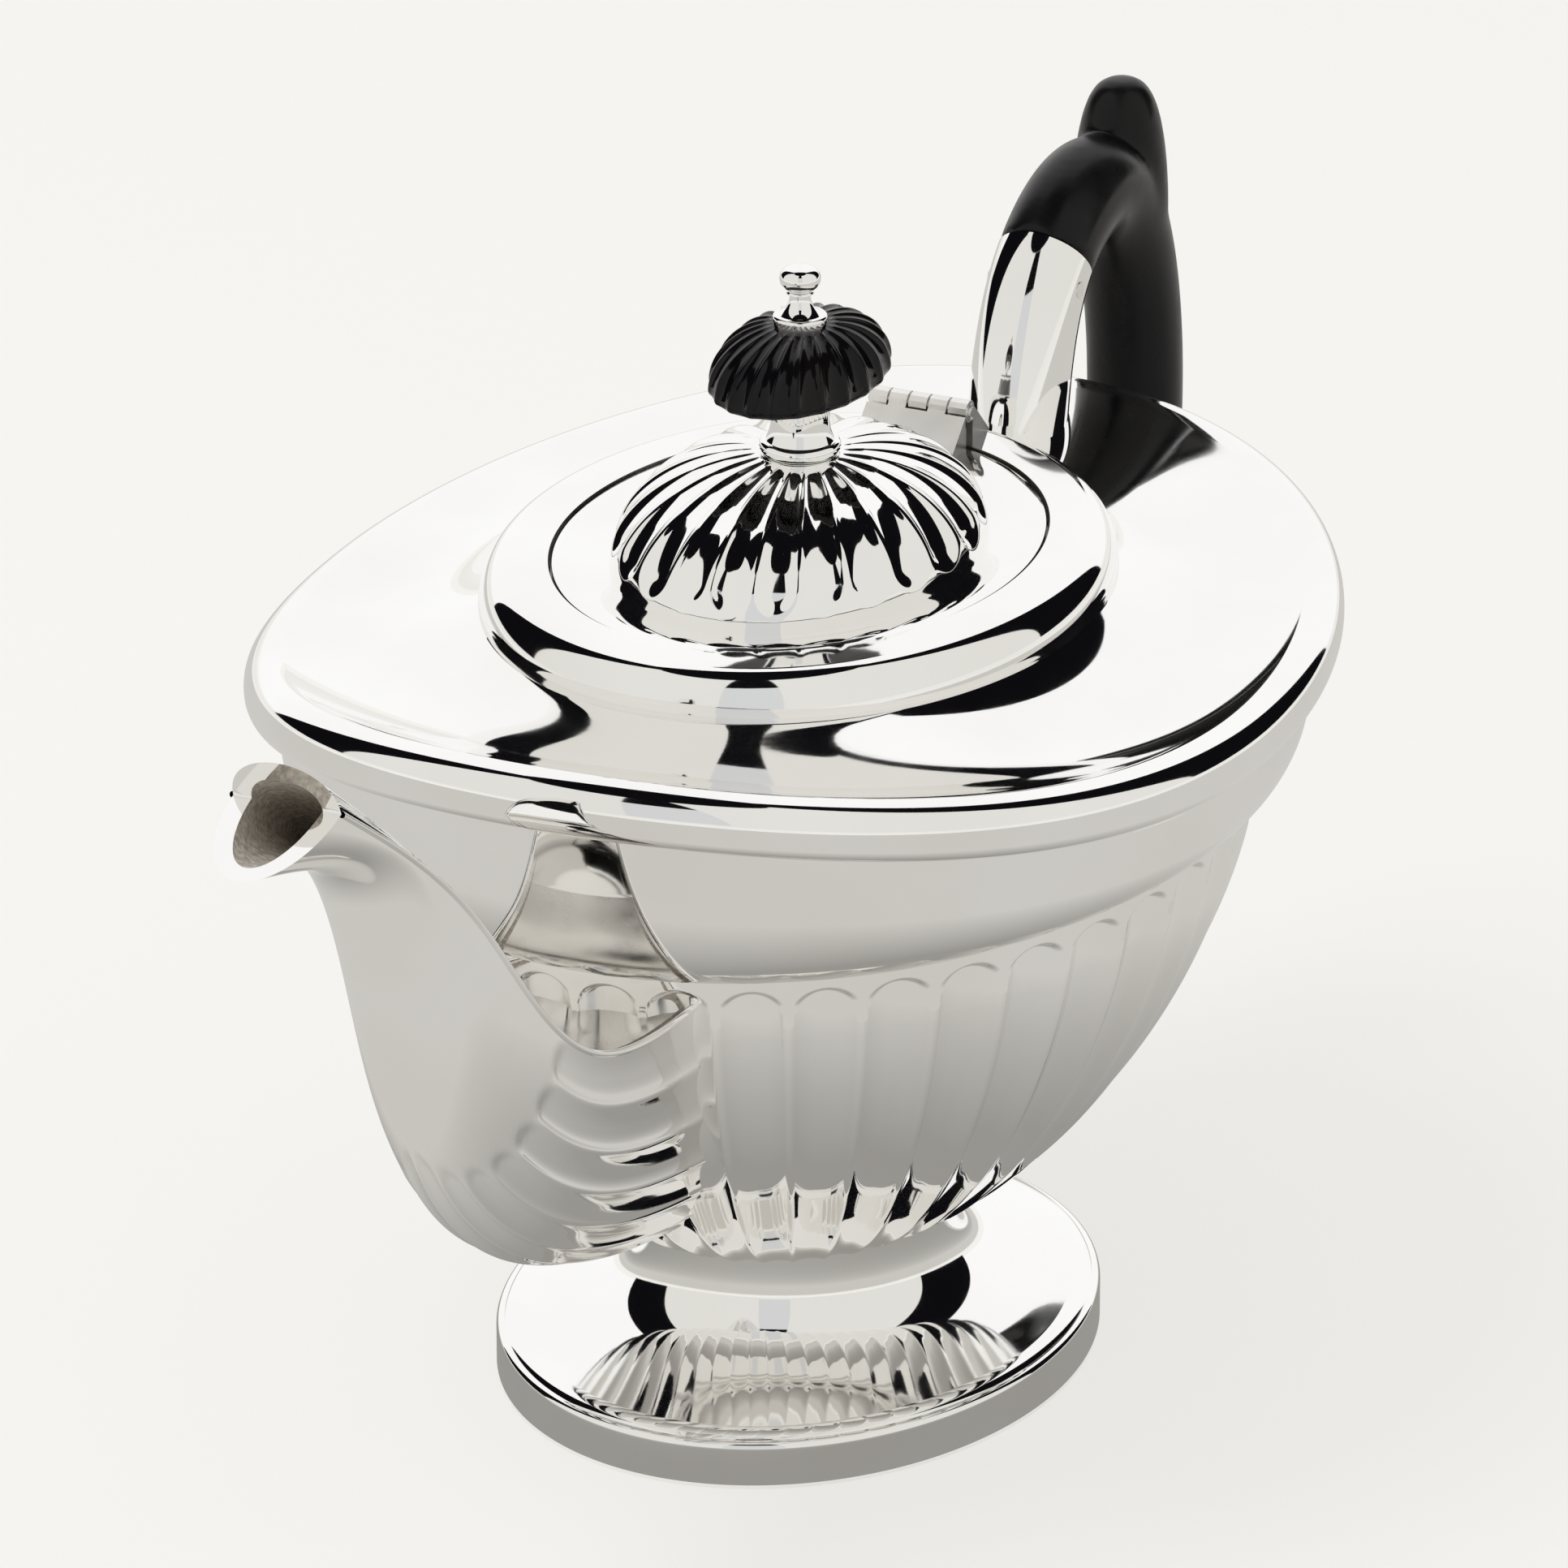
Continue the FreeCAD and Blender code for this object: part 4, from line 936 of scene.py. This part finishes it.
def world():
    """A plain soft light from all round, behind a pale backdrop."""
    sky = bpy.data.worlds.new("studio")
    bpy.context.scene.world = sky
    sky.use_nodes = True
    nodes = sky.node_tree.nodes
    links = sky.node_tree.links
    light = nodes["Background"]
    light.inputs["Color"].default_value = (*WORLD_COLOUR, 1)
    light.inputs["Strength"].default_value = WORLD_STRENGTH
    seen = nodes.new("ShaderNodeBackground")
    seen.inputs["Color"].default_value = (*BACKDROP, 1)
    seen.inputs["Strength"].default_value = 1.0
    mix = nodes.new("ShaderNodeMixShader")
    links.new(shown_rays(nodes, links), mix.inputs["Fac"])
    links.new(light.outputs[0], mix.inputs[1])
    links.new(seen.outputs[0], mix.inputs[2])
    links.new(mix.outputs[0], nodes["World Output"].inputs["Surface"])


def stage_mesh(name, points, faces, material):
    mesh = bpy.data.meshes.new(name)
    mesh.from_pydata([tuple(point) for point in points], [], faces)
    mesh.materials.append(material)
    thing = bpy.data.objects.new(name, mesh)
    bpy.context.scene.collection.objects.link(thing)
    return thing


def floor():
    """A pale floor that keeps the soft shadow and fades into the same pale colour."""
    material, nodes, links, shader = new_material("floor")
    shader.inputs["Base Color"].default_value = (*BACKDROP, 1)
    shader.inputs["Roughness"].default_value = FLOOR_ROUGHNESS
    shader.inputs["Specular IOR Level"].default_value = 0.0
    glow = nodes.new("ShaderNodeEmission")
    glow.inputs["Color"].default_value = (*BACKDROP, 1)
    mix = nodes.new("ShaderNodeMixShader")
    part = nodes.new("ShaderNodeMath")
    part.operation = "MULTIPLY"
    part.inputs[1].default_value = FLOOR_GLOW_SHARE
    links.new(shown_rays(nodes, links), part.inputs[0])
    links.new(part.outputs[0], mix.inputs["Fac"])
    links.new(shader.outputs[0], mix.inputs[1])
    links.new(glow.outputs[0], mix.inputs[2])
    links.new(mix.outputs[0], nodes["Material Output"].inputs["Surface"])
    reach = FLOOR_REACH
    corners = [(-reach, -reach, 0), (reach, -reach, 0), (reach, reach, 0), (-reach, reach, 0)]
    stage_mesh("floor", corners, [(0, 1, 2, 3)], material)


def card_material(name, near, far, reach):
    """A glow that changes from one colour to another with the distance from the pot's foot."""
    material, nodes, links, shader = new_material(name)
    nodes.remove(shader)
    place = nodes.new("ShaderNodeTexCoord")
    distance = nodes.new("ShaderNodeVectorMath")
    distance.operation = "LENGTH"
    share = nodes.new("ShaderNodeMath")
    share.operation = "DIVIDE"
    share.inputs[1].default_value = reach
    glow = nodes.new("ShaderNodeEmission")
    links.new(place.outputs["Object"], distance.inputs[0])
    links.new(distance.outputs["Value"], share.inputs[0])
    colour = ramp(nodes, links, share.outputs[0], near, far, PAINTED_SHADOW_FADE_START, 1.0)
    links.new(colour, glow.inputs["Color"])
    links.new(glow.outputs[0], nodes["Material Output"].inputs["Surface"])
    return material


def mirrors_only(thing):
    thing.visible_camera = False
    thing.visible_diffuse = False
    thing.visible_shadow = False
    thing.visible_transmission = False


def card(name, colour, azimuths, elevations, distance):
    """A curved studio card round the pot that only mirrors see; angles are in degrees, as for the camera."""
    rows = []
    for line in range(CARD_STEPS + 1):
        elevation = math.radians(blend(*elevations, line / CARD_STEPS))
        flat = math.cos(elevation) * distance
        height = math.sin(elevation) * distance + STUDIO_CENTRE.z
        turns = [math.radians(blend(*azimuths, column / CARD_STEPS)) for column in range(CARD_STEPS + 1)]
        rows.append([at_azimuth(turn, flat, height) for turn in turns])
    skin = Skin()
    skin.add(rows, around=False)
    material = card_material(name, colour, colour, distance)
    mirrors_only(stage_mesh(name, skin.points, skin.faces, material))


def table_card(name, near, far, reach, painted_shadow_reach):
    """A round card on the floor that only mirrors see, darker inside the painted contact shadow's reach."""
    points = ring_section(UP * TABLE_CARD_LIFT, ALONG * reach, ACROSS * reach, TABLE_CARD_STEPS)
    # The darker near colour is a painted contact shadow of the pot, seen only in the silver's reflections.
    material = card_material(name, near, far, painted_shadow_reach)
    mirrors_only(stage_mesh(name, points, [tuple(range(TABLE_CARD_STEPS))], material))


def cards():
    """Dark and pale cards round the pot, as the polished surfaces of the photograph show them."""
    dark = (0.004, 0.004, 0.005)
    card("front_card", (0.80, 0.79, 0.755), (-171, 39), (0, 70), 2.4)
    card("opening_card", (0.68, 0.69, 0.70), (-79, -53), (2, 46), 2.2)
    card("opening_top_card", dark, (-79, -53), (46, 70), 2.2)
    card("dark_card_top", dark, (-171, 39), (70, 89.9), 2.3)
    card("dark_card_back", dark, (39, 189), (66, 89.9), 2.3)
    card("dark_card_left", dark, (-206, -171), (0, 70), 2.35)
    card("dark_card_right", dark, (39, 74), (0, 70), 2.35)
    card("back_card", (1.0, 1.0, 1.0), (74, 154), (2, 66), 3.0)
    # The table card's dark near colour is a painted contact shadow round the pot's foot.
    table_card("table_card", (0.33, 0.32, 0.30), (0.62, 0.605, 0.575), reach=0.9, painted_shadow_reach=0.13)


def lamp(name, place, size, watts):
    """A round lamp aimed at the pot; mirrors don't show it."""
    light = bpy.data.lights.new(name, "AREA")
    light.shape = "DISK"
    light.size = size
    light.energy = watts
    thing = bpy.data.objects.new(name, light)
    thing.location = place
    thing.rotation_mode = "QUATERNION"
    thing.rotation_quaternion = (STUDIO_CENTRE - Vector(place)).to_track_quat("-Z", "Y")
    thing.visible_glossy = False
    bpy.context.scene.collection.objects.link(thing)


def studio():
    bpy.context.scene.view_settings.view_transform = "Standard"
    camera()
    world()
    floor()
    cards()
    lamp("key_lamp", (-0.5, 0.6, 1.6), size=0.9, watts=9.0)


def main():
    polished = silver("polished_silver", (0.96, 0.955, 0.945), (0.915, 0.905, 0.885),
                      polish=0.03, worn=0.06, scratches=0.02)
    rubbed = silver("rubbed_silver", (0.90, 0.885, 0.86), (0.78, 0.755, 0.72),
                    polish=0.16, worn=0.3, scratches=0.15)
    dull = silver("dull_silver", (0.52, 0.50, 0.47), (0.36, 0.345, 0.32),
                  polish=0.32, worn=0.5, scratches=0.3)
    brushed = silver("brushed_silver", (0.95, 0.94, 0.92), (0.86, 0.84, 0.81),
                     polish=0.24, worn=0.34, scratches=0.1)
    satin = black("satin_black", gloss=0.22, worn=0.34, grain=0.05)
    glossy = black("glossy_black", gloss=0.07, worn=0.14, grain=0.02)
    foot_piece(polished, dull)
    pedestal_piece(polished, dull)
    bowl_piece(polished, dull)
    band_piece(polished, dull)
    shoulder_piece(polished, dull)
    collar_piece(polished, dull)
    plate_piece(polished, dull)
    dome_piece(polished, dull)
    stem_collar_piece(polished)
    stem_piece(polished)
    cap_piece(polished)
    knob_piece(glossy)
    spout_piece(polished, rubbed, matt_lining("spout_lining"))
    upper = share_of(HANDLE_LINE, UPPER_JOINT)
    lower = share_of(HANDLE_LINE, LOWER_JOINT)
    socket_pieces(polished, upper, lower)
    grip_piece(satin, upper, lower)
    dress_solids(OUTER_SOLIDS, brushed)
    dress_solids(INNER_SOLIDS, dull)
    studio()


main()
bpy.context.view_layer.update()
